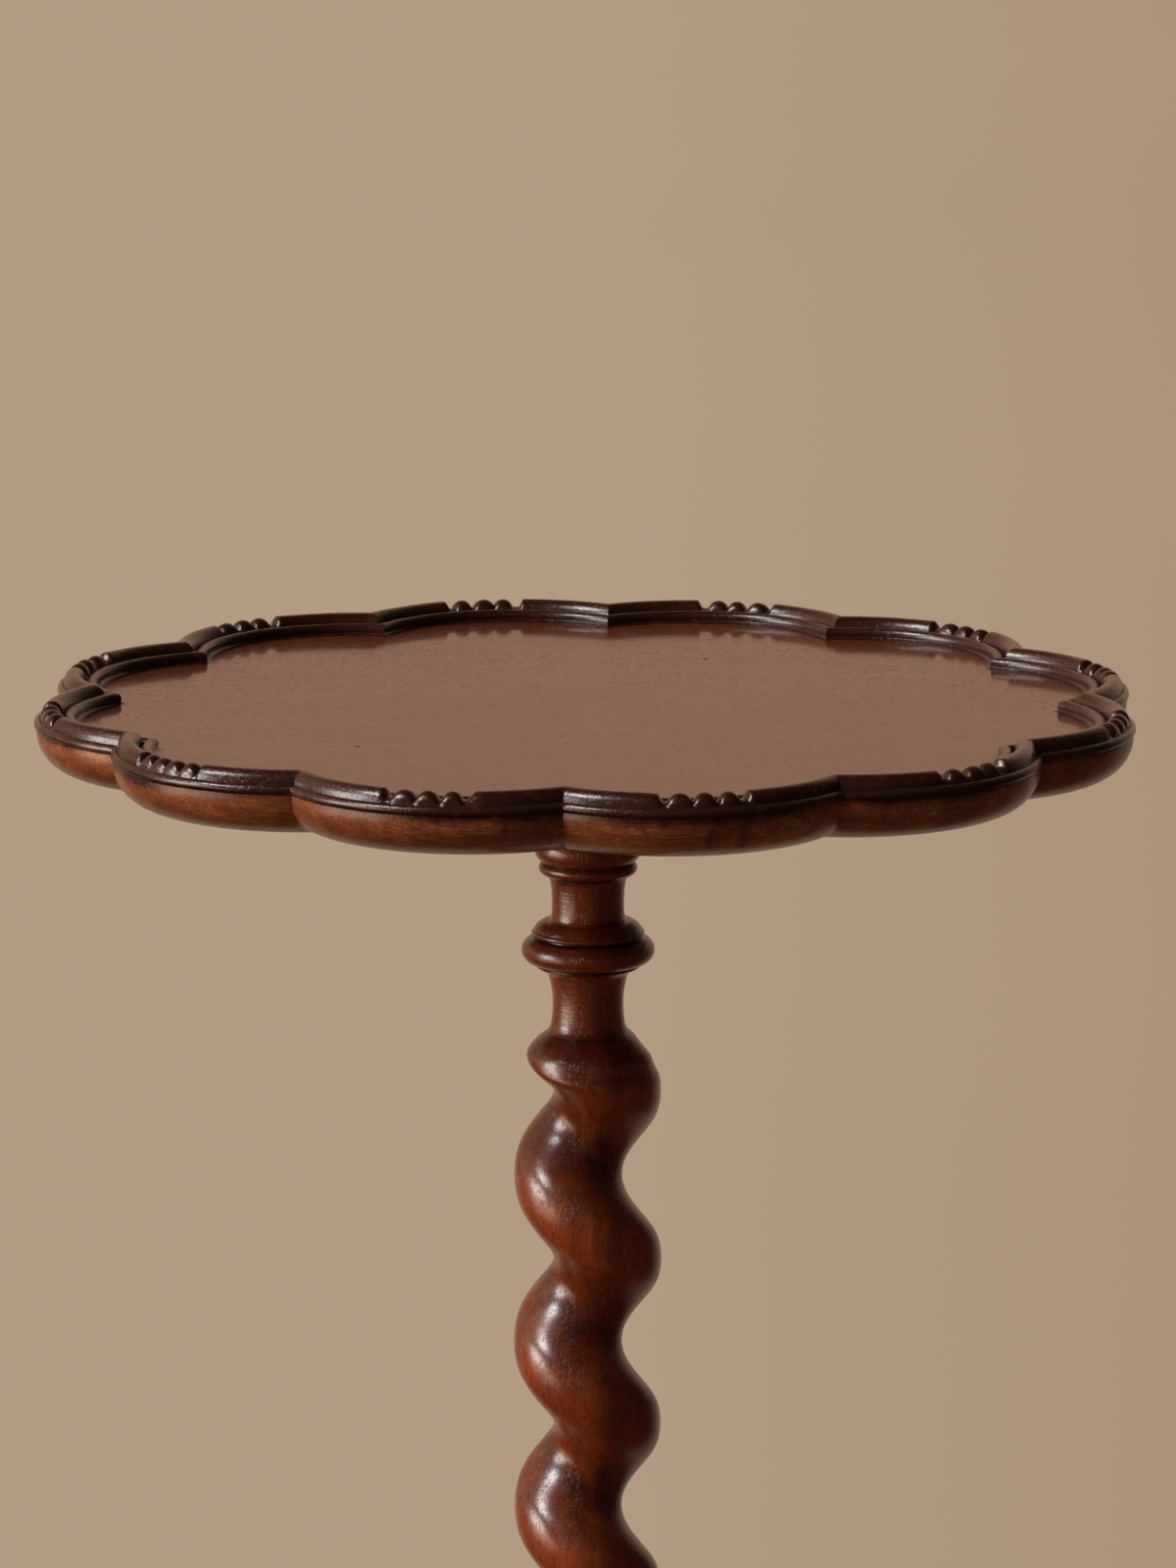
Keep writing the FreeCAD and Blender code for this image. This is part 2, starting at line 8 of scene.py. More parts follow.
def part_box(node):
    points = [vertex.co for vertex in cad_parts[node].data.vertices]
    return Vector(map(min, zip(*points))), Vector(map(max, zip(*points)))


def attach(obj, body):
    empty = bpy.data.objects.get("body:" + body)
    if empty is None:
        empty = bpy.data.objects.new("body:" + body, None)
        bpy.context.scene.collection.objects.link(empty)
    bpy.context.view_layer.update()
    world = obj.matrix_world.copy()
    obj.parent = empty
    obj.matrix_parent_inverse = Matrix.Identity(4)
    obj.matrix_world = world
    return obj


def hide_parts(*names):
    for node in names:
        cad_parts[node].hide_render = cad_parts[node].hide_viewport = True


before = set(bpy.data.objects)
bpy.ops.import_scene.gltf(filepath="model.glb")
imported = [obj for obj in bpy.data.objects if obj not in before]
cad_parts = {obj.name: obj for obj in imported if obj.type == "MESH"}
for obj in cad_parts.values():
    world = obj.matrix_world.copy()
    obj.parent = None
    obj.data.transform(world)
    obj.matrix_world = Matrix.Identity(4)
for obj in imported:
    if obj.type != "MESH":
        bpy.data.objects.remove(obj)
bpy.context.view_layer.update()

mm = 0.001
topLow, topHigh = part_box("table_top")
bossLow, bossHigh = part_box("top_boss")
columnLow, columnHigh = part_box("column")


# Helpers for modelling

def deselectAll():
    if bpy.context.object and bpy.context.object.mode == "EDIT":
        bpy.ops.object.mode_set(mode="OBJECT")
    bpy.ops.object.select_all(action="DESELECT")


def selectAll():  # in edit mode
    bpy.ops.mesh.select_all(action="SELECT")


def drawLine(name, points):  # one point, extruded along a line
    deselectAll()
    bpy.ops.mesh.primitive_plane_add(size=mm, location=(0, 0, 0), enter_editmode=True)
    piece = bpy.context.object
    piece.name = piece.data.name = name
    bpy.ops.mesh.select_mode(type="VERT")
    selectAll()
    bpy.ops.mesh.merge(type="CENTER")
    bpy.ops.transform.translate(value=points[0])
    for last, point in zip(points, points[1:]):
        bpy.ops.mesh.extrude_vertices_move(TRANSFORM_OT_translate={"value": point - last})
    selectAll()
    return piece


def pick(piece, test):  # selects what lies where the test says, in edit mode
    bpy.ops.mesh.select_mode(type="VERT")
    shape = bmesh.from_edit_mesh(piece.data)
    for corner in shape.verts:
        corner.select = bool(test(corner.co))
    shape.select_flush(True)
    shape.select_flush(False)
    bmesh.update_edit_mesh(piece.data)


def pickEdges(piece, test):  # selects the edges that pass, in edit mode
    bpy.ops.mesh.select_mode(type="EDGE")
    shape = bmesh.from_edit_mesh(piece.data)
    for edge in shape.edges:
        edge.select = bool(test(edge.verts[1].co - edge.verts[0].co))
    shape.select_flush(False)
    bmesh.update_edit_mesh(piece.data)


def closeShape():  # ends the edit mode, with doubles merged and the faces turned outwards
    selectAll()
    bpy.ops.mesh.remove_doubles(threshold=0.02 * mm)
    bpy.ops.mesh.normals_make_consistent(inside=False)
    bpy.ops.object.mode_set(mode="OBJECT")


def select(*pieces):  # the first one becomes active
    deselectAll()
    for piece in pieces:
        piece.select_set(True)
    bpy.context.view_layer.objects.active = pieces[0]


def smooth(piece, angle):
    select(piece)
    bpy.ops.object.shade_smooth_by_angle(angle=math.radians(angle))


def joinPieces(name, *pieces):
    select(*pieces)
    bpy.ops.object.join()
    pieces[0].name = name
    return pieces[0]


def addObject(name, data):
    item = bpy.data.objects.new(name, data)
    bpy.context.collection.objects.link(item)
    return item


def cutOut(piece, cutter):  # takes the cutter's shape out of the piece
    cut = piece.modifiers.new("cut", "BOOLEAN")
    cut.operation = "DIFFERENCE"
    cut.object = cutter
    select(piece)
    bpy.ops.object.modifier_apply(modifier=cut.name)
    bpy.data.objects.remove(cutter)


def setMaterial(piece, material):
    piece.data.materials.clear()
    piece.data.materials.append(material)


def finishPiece(piece, material, node):
    setMaterial(piece, material)
    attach(piece, "root")
    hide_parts(node)


def arc(centre, reach, first, last, count):  # points of a profile along a round, in degrees
    angles = [math.radians(first + (last - first) * step / count) for step in range(count + 1)]
    return [(centre[0] + reach[0] * math.cos(angle), centre[1] + reach[1] * math.sin(angle))
            for angle in angles]


def towards(angle):
    return Vector((math.cos(angle), math.sin(angle), 0))


def ramp(share):  # 0 to 1 with soft ends
    share = min(max(share, 0), 1)
    return share * share * (3 - 2 * share)


def waves(place, layers):  # noise of several sizes, each as (waves per metre, reach)
    return sum(reach * noise.noise(place * often) for often, reach in layers)


def spinProfile(name, profile, level, steps):  # profile of (radius, distance above level) in mm
    points = [Vector((radius * mm, 0, level + up * mm)) for radius, up in profile]
    piece = drawLine(name, points)
    bpy.ops.mesh.spin(steps=steps, angle=2 * math.pi, center=(0, 0, 0), axis=(0, 0, 1))
    closeShape()
    return piece


# Node groups that the materials share

def newGroup(name, inputs, outputs):
    group = bpy.data.node_groups.new(name, "ShaderNodeTree")
    for label, kind, value in inputs:
        socket = group.interface.new_socket(name=label, in_out="INPUT", socket_type=kind)
        if value is not None:
            socket.default_value = value
    for label, kind in outputs:
        group.interface.new_socket(name=label, in_out="OUTPUT", socket_type=kind)
    return group, group.nodes.new("NodeGroupInput"), group.nodes.new("NodeGroupOutput")


def feed(node, values):  # links or sets inputs, by their names or places
    for place, value in values.items():
        socket = node.inputs[place]
        if isinstance(value, bpy.types.NodeSocket):
            node.id_data.links.new(value, socket)
        elif socket.type == "RGBA":
            socket.default_value = (*value, 1)
        else:
            socket.default_value = value


def addNode(tree, kind, values=None, **settings):
    node = tree.nodes.new("ShaderNode" + kind)
    for key, value in settings.items():
        setattr(node, key, value)
    feed(node, values or {})
    return node


def addScale(tree, vector, *scale):  # the vector, stretched along X, Y and Z
    return addNode(tree, "Mapping", {0: vector, "Scale": scale}).outputs[0]


def addAttribute(tree, name):
    return addNode(tree, "Attribute", attribute_name=name).outputs["Fac"]


def addMath(tree, operation, *values, clamp=False):
    return addNode(tree, "Math", dict(enumerate(values)), operation=operation, use_clamp=clamp).outputs[0]


def addVectorMath(tree, operation, *values):
    node = addNode(tree, "VectorMath", dict(enumerate(values)), operation=operation)
    return node.outputs["Value" if operation in ("LENGTH", "DOT_PRODUCT") else "Vector"]


def addMix(tree, share, first, second, blend="MIX"):  # mixes two colours
    return addNode(tree, "Mix", {0: share, 6: first, 7: second},
                   data_type="RGBA", blend_type=blend).outputs[2]


def addRamp(tree, factor, *stops):  # a colour ramp of (place, colour) stops
    node = addNode(tree, "ValToRGB", {0: factor})
    stripes = node.color_ramp.elements
    while len(stripes) < len(stops):
        stripes.new(0.5)
    for stripe, (place, colour) in zip(stripes, stops):
        stripe.position = place
        stripe.color = (*colour, 1) if isinstance(colour, tuple) else (colour, colour, colour, 1)
    return node.outputs[0]


def addStep(tree, value, first, full):  # a mask that rises from first to full
    return addRamp(tree, value, (first, 0.0), (full, 1.0))


def addNoise(tree, vector, scale, detail, roughness=0.5, distortion=0.0):
    return addNode(tree, "TexNoise", {0: vector, "Scale": scale, "Detail": detail, "Roughness": roughness,
                                      "Distortion": distortion}).outputs[0]


grainLayers = {
    # how fine each layer is along and across the grain, per mm
    "fibres": (0.13, 1.8), "bands": (0.012, 0.2), "clouds": (0.02, 0.035),
    "pores": (0.6, 2.4), "poreGroups": (0.03, 0.25), "figure": (0.11, 0.06),
    "bend": 0.012, "bendReach": (0, 9, 9),
    "bandShare": 0.55, "cloudShare": 0.4, "lift": 0.025,
    "groupShare": 0.14, "poreEdge": (0.66, 0.74),
}


def makeGrainGroup():  # wood grain that runs along the vector's X, in millimetres
    group, source, result = newGroup(
        "woodGrain",
        [("Vector", "NodeSocketVector", None), ("Wave", "NodeSocketFloat", 1.0),
         ("Streak", "NodeSocketFloat", 0.95)],
        [("Tone", "NodeSocketFloat"), ("Pores", "NodeSocketFloat"), ("Figure", "NodeSocketFloat")])
    vector = source.outputs["Vector"]
    bend = addNode(group, "TexNoise", {0: vector, "Scale": grainLayers["bend"], "Detail": 1.0})
    shift = addVectorMath(group, "SUBTRACT", bend.outputs["Color"], (0.5, 0.5, 0.5))
    shift = addVectorMath(group, "MULTIPLY", shift, grainLayers["bendReach"])
    bent = addVectorMath(group, "ADD", vector, shift)

    def layer(name, *values):
        along, across = grainLayers[name]
        return addNoise(group, addScale(group, bent, along, across, across), 1.0, *values)

    fibres = addMath(group, "SUBTRACT", layer("fibres", 4.0, 0.68, 0.3), 0.5)
    bands = addMath(group, "MULTIPLY", layer("bands", 3.0, 0.55, 0.4), grainLayers["bandShare"])
    tone = addMath(group, "MULTIPLY_ADD", fibres, source.outputs["Streak"], bands)
    tone = addMath(group, "MULTIPLY_ADD", layer("clouds", 2.0, 0.5), grainLayers["cloudShare"], tone)
    pores = addMath(group, "MULTIPLY_ADD", layer("poreGroups", 2.0, 0.5), grainLayers["groupShare"],
                    layer("pores", 2.0, 0.5))
    figure = layer("figure", 2.0, 0.5, 0.6)
    feed(result, {"Tone": addMath(group, "ADD", tone, grainLayers["lift"], clamp=True),
                  "Pores": addStep(group, pores, *grainLayers["poreEdge"]),
                  "Figure": addMath(group, "MULTIPLY", figure, source.outputs["Wave"])})
    return group


polishLayers = {"smears": 0.06, "specks": 0.9, "swell": 0.16, "speckShare": 0.4, "glossiest": 0.03}


def makePolishGroup():  # handled polish: unevenness of gloss and a slight swell of the surface
    group, source, result = newGroup(
        "polishWear",
        [("Vector", "NodeSocketVector", None), ("Gloss", "NodeSocketFloat", 0.2),
         ("Spread", "NodeSocketFloat", 0.12)],
        [("Roughness", "NodeSocketFloat"), ("Swell", "NodeSocketFloat")])
    vector = source.outputs["Vector"]
    smears = addNoise(group, vector, polishLayers["smears"], 3.0, 0.6, 0.8)
    specks = addNoise(group, vector, polishLayers["specks"], 3.0, 0.7)
    share = polishLayers["speckShare"]
    spread = addMath(group, "MULTIPLY_ADD", specks, share, addMath(group, "MULTIPLY", smears, 1 - share))
    centred = addMath(group, "SUBTRACT", spread, 0.5)
    rough = addMath(group, "MULTIPLY_ADD", centred, source.outputs["Spread"], source.outputs["Gloss"])
    feed(result, {"Roughness": addMath(group, "MAXIMUM", rough, polishLayers["glossiest"]),
                  "Swell": addNoise(group, vector, polishLayers["swell"], 2.0, 0.5)})
    return group


patinaLayers = {"clouds": 0.22, "streaks": (0.08, 0.7, 0.7), "streakShare": 0.4, "reach": 2.4,
                "edge": (0.08, 0.92)}


def makePatinaAndShadeGroup():  # dark polish, and painted shade, where the mask says, broken up along its edge
    group, source, result = newGroup(
        "darkPatinaAndShade",
        [("Vector", "NodeSocketVector", None), ("Mask", "NodeSocketFloat", 0.0),
         ("Break", "NodeSocketFloat", 0.35)],
        [("Dark", "NodeSocketFloat")])
    vector = source.outputs["Vector"]
    clouds = addNoise(group, vector, patinaLayers["clouds"], 4.0, 0.62, 0.3)
    streaks = addNoise(group, addScale(group, vector, *patinaLayers["streaks"]), 1.0, 3.0, 0.6)
    share = patinaLayers["streakShare"]
    mixed = addMath(group, "MULTIPLY_ADD", streaks, share, addMath(group, "MULTIPLY", clouds, 1 - share))
    offset = addMath(group, "MULTIPLY", addMath(group, "SUBTRACT", mixed, 0.5),
                     addMath(group, "MULTIPLY", source.outputs["Break"], patinaLayers["reach"]))
    total = addMath(group, "ADD", source.outputs["Mask"], offset)
    feed(result, {"Dark": addStep(group, total, *patinaLayers["edge"])})
    return group


woodGrain = makeGrainGroup()
polishWear = makePolishGroup()
darkPatinaAndShade = makePatinaAndShadeGroup()


# Materials

def newMaterial(name):
    material = bpy.data.materials.new(name)
    material.use_nodes = True
    tree = material.node_tree
    tree.nodes.clear()
    surface = addNode(tree, "BsdfPrincipled")
    addNode(tree, "OutputMaterial", {0: surface.outputs[0]})
    return material, tree, surface


woodSurface = {
    "figureEdge": (0.52, 0.66), "poreRough": 0.1, "patinaCover": 0.6, "dentEdge": 0.55,
    # heights that the bump adds up, and how deep a height of 1 is
    "poreHeight": -1.6, "toneHeight": 0.2, "bumpDepth": 0.1 * mm,
    "lathe": (0.08, 0.08, 2.6), "crustScale": 0.8,
    "refraction": 1.5,
}


def woodMaterial(name, finish):
    material, tree, surface = newMaterial(name)
    place = addNode(tree, "TexCoord").outputs["Object"]
    inMillimetres = addScale(tree, place, 1 / mm, 1 / mm, 1 / mm)
    turn = [math.radians(angle) for angle in finish["grainTurn"]]
    vector = addNode(tree, "Mapping", {0: inMillimetres, "Rotation": turn,
                                       "Location": finish["grainShift"]}).outputs[0]
    grain = addNode(tree, "Group", {"Vector": vector, "Wave": finish["figure"], "Streak": finish["streak"]},
                    node_tree=woodGrain)
    polish = addNode(tree, "Group", {"Vector": vector, "Gloss": finish["gloss"],
                                     "Spread": finish["glossSpread"]}, node_tree=polishWear)
    patinaAndShade = addNode(tree, "Group", {"Vector": vector, "Mask": addAttribute(tree, "patinaAndShade"),
                                     "Break": finish["patinaBreak"]}, node_tree=darkPatinaAndShade).outputs["Dark"]
    pores = grain.outputs["Pores"]

    colour = addRamp(tree, grain.outputs["Tone"], *finish["woodColours"])
    figure = addStep(tree, grain.outputs["Figure"], *woodSurface["figureEdge"])
    colour = addMix(tree, figure, colour, finish["figureColour"])
    pored = addMath(tree, "MULTIPLY", pores, finish["poreDepth"])
    colour = addMix(tree, pored, colour, finish["poreColour"])
    rough = addMath(tree, "MULTIPLY_ADD", pores, woodSurface["poreRough"], polish.outputs["Roughness"])
    sleek = addMath(tree, "MULTIPLY_ADD", patinaAndShade, finish["patinaGloss"] - 1, 1.0)
    rough = addMath(tree, "MULTIPLY", rough, sleek)
    bare = addMath(tree, "MULTIPLY", patinaAndShade, woodSurface["patinaCover"])
    if "dishColour" in finish:  # the even, sleek dish, and dry wood underneath
        dish = addAttribute(tree, "dish")
        raw = addAttribute(tree, "raw")
        even = addMath(tree, "MULTIPLY", dish, finish["dishEven"])
        colour = addMix(tree, even, colour, finish["dishColour"])
        dry = addMath(tree, "MULTIPLY", raw, finish["rawShare"])
        colour = addMix(tree, dry, colour, finish["rawColour"])
        sleek = addMath(tree, "MULTIPLY_ADD", dish, finish["dishGloss"] - 1, 1.0)
        rough = addMath(tree, "MULTIPLY", rough, sleek)
        rough = addMath(tree, "MULTIPLY_ADD", raw, finish["rawRough"], rough)
        bare = addMath(tree, "MAXIMUM", dish, addMath(tree, "ADD", bare, raw, clamp=True))
    # the dark patina colour, also painted as shade where the mask holds it: the bowl's mitres and the
    # column's upward faces
    colour = addMix(tree, patinaAndShade, colour, finish["patinaAndShadeColour"])
    for dent in finish.get("dents", ()):  # small and old, filled with dirt
        spread = addVectorMath(tree, "SUBTRACT", place, dent["place"])
        far = addVectorMath(tree, "LENGTH", addVectorMath(tree, "DIVIDE", spread, dent["reach"]))
        inside = addRamp(tree, far, (woodSurface["dentEdge"], dent["depth"]), (1.0, 0.0))
        colour = addMix(tree, inside, colour, finish["patinaAndShadeColour"])
        rough = addMath(tree, "MAXIMUM", rough, inside)
    coat = addMath(tree, "MULTIPLY_ADD", bare, -finish["coat"], finish["coat"])

    height = addMath(tree, "MULTIPLY_ADD", pores, woodSurface["poreHeight"],
                     addMath(tree, "MULTIPLY", grain.outputs["Tone"], woodSurface["toneHeight"]))
    height = addMath(tree, "MULTIPLY_ADD", polish.outputs["Swell"], finish["swell"], height)
    if "turning" in finish:  # fine marks left by the lathe
        rings = addNoise(tree, addScale(tree, inMillimetres, *woodSurface["lathe"]), 1.0, 2.0, 0.6)
        rings = addMath(tree, "MULTIPLY", rings, addAttribute(tree, "turned"))
        height = addMath(tree, "MULTIPLY_ADD", rings, finish["turning"], height)
    crust = addMath(tree, "MULTIPLY", addNoise(tree, vector, woodSurface["crustScale"], 4.0, 0.7), patinaAndShade)
    height = addMath(tree, "MULTIPLY_ADD", crust, finish["crust"], height)
    if "dishColour" in finish:
        calm = addMath(tree, "MULTIPLY_ADD", dish, finish["dishBump"] - 1, 1.0)
        height = addMath(tree, "MULTIPLY", height, calm)
    bump = addNode(tree, "Bump", {"Height": height, "Strength": finish["bump"],
                                  "Distance": woodSurface["bumpDepth"]})
    feed(surface, {"Base Color": colour, "Roughness": rough, "IOR": woodSurface["refraction"],
                   "Coat Weight": coat, "Coat Roughness": finish["coatRoughness"],
                   "Coat IOR": woodSurface["refraction"], "Normal": bump.outputs[0]})
    return material


topFinish = {
    "grainTurn": (0, 0, 2), "grainShift": (11, 40, 5), "figure": 0.8, "streak": 1.0,
    "gloss": 0.36, "glossSpread": 0.2, "coat": 0.25, "coatRoughness": 0.12, "swell": 1.6, "bump": 0.3,
    "woodColours": ((0.2, (0.09, 0.016, 0.004)), (0.5, (0.215, 0.05, 0.0145)), (0.8, (0.43, 0.14, 0.047))),
    "figureColour": (0.11, 0.021, 0.006),
    "poreDepth": 0.6, "poreColour": (0.03, 0.008, 0.004),
    "patinaAndShadeColour": (0.03, 0.0074, 0.0035), "patinaBreak": 0.45, "patinaGloss": 0.6,
    "crust": 3.0,
    "dishGloss": 0.3, "dishEven": 0.72, "dishColour": (0.1, 0.032, 0.0175), "dishBump": 0.3,
    "rawShare": 0.7, "rawColour": (0.1, 0.036, 0.016), "rawRough": 0.35,
    "dents": (
        {"place": (0.0337, 0.076, 0.5545), "reach": (1.1 * mm, 1.4 * mm, 2 * mm), "depth": 0.7},
        {"place": (-0.0615, -0.056, 0.5545), "reach": (1.1 * mm, 1.2 * mm, 2 * mm), "depth": 0.6},
    ),
}
columnFinish = {
    "grainTurn": (0, 90, 0), "grainShift": (3, 17, 29), "figure": 0.8, "streak": 0.6,
    "gloss": 0.3, "glossSpread": 0.18, "coat": 0.36, "coatRoughness": 0.22, "swell": 2.4, "bump": 0.45,
    "woodColours": ((0.2, (0.08, 0.0095, 0.002)), (0.5, (0.2, 0.03, 0.0062)), (0.8, (0.37, 0.076, 0.016))),
    "figureColour": (0.095, 0.0135, 0.0038),
    "poreDepth": 0.65, "poreColour": (0.018, 0.005, 0.003),
    "patinaAndShadeColour": (0.018, 0.0036, 0.002), "patinaBreak": 0.45, "patinaGloss": 0.75,
    "turning": 3.0, "crust": 0.5,
}
legFinish = {**columnFinish, "grainTurn": (0, 35, 0), "grainShift": (21, 7, 13)}


def makeWedgeWood():  # pale unpolished wood of the hidden wedge
    material, tree, surface = newMaterial("wedgeWood")
    place = addNode(tree, "TexCoord").outputs["Object"]
    along = addNode(tree, "Mapping", {0: place, "Scale": (1 / mm, 1 / mm, 1 / mm),
                                      "Rotation": (0, math.radians(90), 0)})
    grain = addNode(tree, "Group", {"Vector": along.outputs[0], "Wave": 0.5}, node_tree=woodGrain)
    wood = addRamp(tree, grain.outputs["Tone"], (0.2, (0.2, 0.11, 0.05)), (0.8, (0.42, 0.26, 0.13)))
    wood = addMix(tree, grain.outputs["Pores"], wood, (0.08, 0.04, 0.02))
    rough = addMath(tree, "MULTIPLY_ADD", grain.outputs["Tone"], 0.2, 0.55)
    feed(surface, {"Base Color": wood, "Roughness": rough})
    return material


def makeScrewSteel():  # darkened steel, rubbed brighter in places
    material, tree, surface = newMaterial("screwSteel")
    place = addNode(tree, "TexCoord").outputs["Object"]
    rust = addNoise(tree, place, 0.9 / mm, 4.0, 0.65)
    fine = addNoise(tree, place, 4.2 / mm, 3.0, 0.6)
    colour = addRamp(tree, rust, (0.35, (0.09, 0.08, 0.075)), (0.6, (0.17, 0.15, 0.135)),
                     (0.75, (0.12, 0.06, 0.035)))
    rough = addMath(tree, "MULTIPLY_ADD", fine, 0.3, 0.28)
    feed(surface, {"Base Color": colour, "Metallic": 1.0, "Roughness": rough})
    return material


topWood = woodMaterial("topMahogany", topFinish)
columnWood = woodMaterial("columnMahogany", columnFinish)
legWood = woodMaterial("legMahogany", legFinish)
wedgeWood = makeWedgeWood()
screwSteel = makeScrewSteel()
print("materials ready")


# Table top

tableTop = {
    "lobes": 12, "turn": -2.54, "cuspRadius": 137.0, "lobeSwell": 11.0,
    "dishDepth": 5.5, "dishEdge": -11.5, "underEdge": -8.5,
    "fineReach": 17.0, "fineSteps": 76, "coarseReach": 64.0, "coarseSteps": 18,
    # the gap in each lobe: half its length, its ends, and the share of the crest's height left in it
    "gapHalf": 10.4, "gapEnd": 1.7, "gapFloor": 0.36,
    "gapShifts": (-2.5, -0.8, 0.2, 0.9, -0.4, 0.3, -0.9, 0.6, 0.1, -0.5, 1.2, 4.2),
    "pearlPitch": 6.2, "pearlHalf": 2.85, "pearlTop": 0.97, "pearlRound": (2.1, 0.62),
    "pearlUneven": 0.09, "pearlShift": 0.35,
    "fourPearlLobe": 10, "fourShare": 0.84,
    # where the crest and the whole moulding lie, from the crest's line and its top
    "crestInner": -3.25, "crestOuter": 3.05, "crestFoot": -3.6, "gapNarrower": 0.2,
    "mouldInner": -7.4, "mouldFoot": -10, "dishTo": -8.4, "dishUnder": -5.8, "rawUnder": -17.2,
    "flatWithin": 60,
    # hand-cut unevenness: waves per metre and how far each reaches in mm
    "carvedWave": 0.22, "carvedWaves": ((55, 0.6), (160, 0.3)),
    "swell": 0.16, "swellWave": 34, "driftWaves": ((30, 2.6),), "driftFine": 90,
    # how dark each part gets: dark polish, darker towards the bottom, and painted shade along the mitres
    "polish": {"crest": 0.95, "lip": 0.9, "low": 0.22, "dish": 0.4, "valley": 0.3, "mitreShade": 0.35},
}


def mouldingProfile():  # (distance out from the crest's line, height over its top) in mm
    return [
        (tableTop["dishEdge"], -tableTop["dishDepth"]), (-9.4, -5.5), (-8.2, -5.5),
        (-7.5, -5.48), (-7.0, -5.3),
        *arc((-5.1, -4.05), (1.7, 1.75), 205, 15, 9),
        (-3.32, -4.15),
        *arc((0, -3.9), (3.15, 3.9), 178, 90, 8),
        *arc((0, -3.3), (2.9, 3.3), 90, 4, 7)[1:],
        (3.0, -3.65),
        *arc((3.1, -4.85), (1.5, 1.45), 78, -52, 6),
        (3.72, -6.25), (3.8, -6.6),
        *arc((-8.5, -6.9), (12.5, 11.1), 4, -90, 14),
    ]


def lobeAngle(number):  # the way that a lobe faces, in radians
    return math.radians(tableTop["turn"] - 90 + 360 / tableTop["lobes"] * (number + 0.5))


halfLobe = math.pi / tableTop["lobes"]
apexRadius = tableTop["cuspRadius"] + tableTop["lobeSwell"]
lobeRise = apexRadius - tableTop["cuspRadius"] * math.cos(halfLobe)
lobeAside = tableTop["cuspRadius"] * math.sin(halfLobe)
lobeRadius = (lobeRise**2 + lobeAside**2) / (2 * lobeRise)
lobeCentre = apexRadius - lobeRadius


def makeLobe():
    facing = lobeAngle(0)
    middle = towards(facing) * lobeCentre * mm
    way = towards(facing - math.radians(tableTop["coarseReach"]))
    points = [middle + way * (lobeRadius + out) * mm + Vector((0, 0, topHigh.z + up * mm))
              for out, up in mouldingProfile()]
    piece = drawLine("tableTop", points)
    side = math.radians(tableTop["coarseReach"] - tableTop["fineReach"])
    for steps, angle in ((tableTop["coarseSteps"], side),
                         (tableTop["fineSteps"], math.radians(2 * tableTop["fineReach"])),
                         (tableTop["coarseSteps"], side)):
        bpy.ops.mesh.spin(steps=steps, angle=angle, center=middle, axis=(0, 0, -1))
    selectAll()
    bpy.ops.mesh.remove_doubles(threshold=0.001 * mm)
    for sign in (-1, 1):  # mitred where it meets the next lobe
        edge = facing + sign * halfLobe
        selectAll()
        bpy.ops.mesh.bisect(plane_co=(0, 0, 0), plane_no=(-sign * math.sin(edge), sign * math.cos(edge), 0),
                            clear_outer=True)
    for level, reach in ((topHigh.z - tableTop["dishDepth"] * mm, lobeRadius + tableTop["dishEdge"]),
                         (topLow.z, lobeRadius + tableTop["underEdge"])):
        pick(piece, lambda co: abs(co.z - level) < 0.05 * mm
             and abs((co.xy - middle.xy).length - reach * mm) < 0.05 * mm)
        bpy.ops.mesh.extrude_region_move()
        bpy.ops.transform.resize(value=(0, 0, 1), center_override=(0, 0, 0))
    return piece


def carveCrest(piece):  # cuts the gaps and pearls, and gives the moulding its hand-cut unevenness
    patinaAndShade, dish, raw = [piece.data.attributes.new(name, "FLOAT", "POINT")
                         for name in ("patinaAndShade", "dish", "raw")]
    turn = 2 * halfLobe
    firstFacing = lobeAngle(0)
    for corner in piece.data.vertices:
        place = corner.co
        around = math.atan2(place.y, place.x) - firstFacing
        number = round(around / turn) % tableTop["lobes"]
        facing = lobeAngle(number)
        middle = towards(facing).xy * lobeCentre * mm
        spoke = place.xy - middle
        out = spoke.length / mm - lobeRadius
        up = (place.z - topHigh.z) / mm
        bend = math.atan2(spoke.y, spoke.x) - facing
        bend = math.atan2(math.sin(bend), math.cos(bend))
        along = bend * lobeRadius - tableTop["gapShifts"][number]
        height = crestShare(along, number)
        if tableTop["crestInner"] < out < tableTop["crestOuter"] and up > tableTop["crestFoot"]:
            up = tableTop["crestFoot"] + (up - tableTop["crestFoot"]) * height
            out *= 1 - tableTop["gapNarrower"] * (1 - height)
        aside = (halfLobe - abs(around - turn * round(around / turn))) * place.xy.length / mm
        moulded = ramp((out - tableTop["mouldInner"]) / 1.2) * ramp((up - tableTop["mouldFoot"]) / 3)
        moulded *= ramp(aside / 2)  # none in the mitres
        raw.data[corner.index].value = ramp((tableTop["rawUnder"] - up) / 0.7)
        level = up > tableTop["dishUnder"]
        if place.xy.length < tableTop["flatWithin"] * mm:
            dish.data[corner.index].value = level
            continue
        dish.data[corner.index].value = (1 - ramp((out - tableTop["dishTo"]) / 1.2)) * level
        carved = tableTop["carvedWave"] * moulded * waves(place, tableTop["carvedWaves"])
        swell = noise.noise(place * tableTop["swellWave"] + Vector((5, 1, 7)))
        swell *= tableTop["swell"] * ramp((out + 6) / 6)
        if out > tableTop["mouldInner"]:
            place.xy = middle + spoke.normalized() * (out + carved * 0.7 + swell + lobeRadius) * mm
            place.z = topHigh.z + min(up + min(carved, 0.1), 0) * mm
        drift = waves(place.xy.to_3d(), tableTop["driftWaves"]) + noise.noise(place * tableTop["driftFine"])
        patinaAndShade.data[corner.index].value = patinaAndShadeShare(out, up, height, bend, drift)


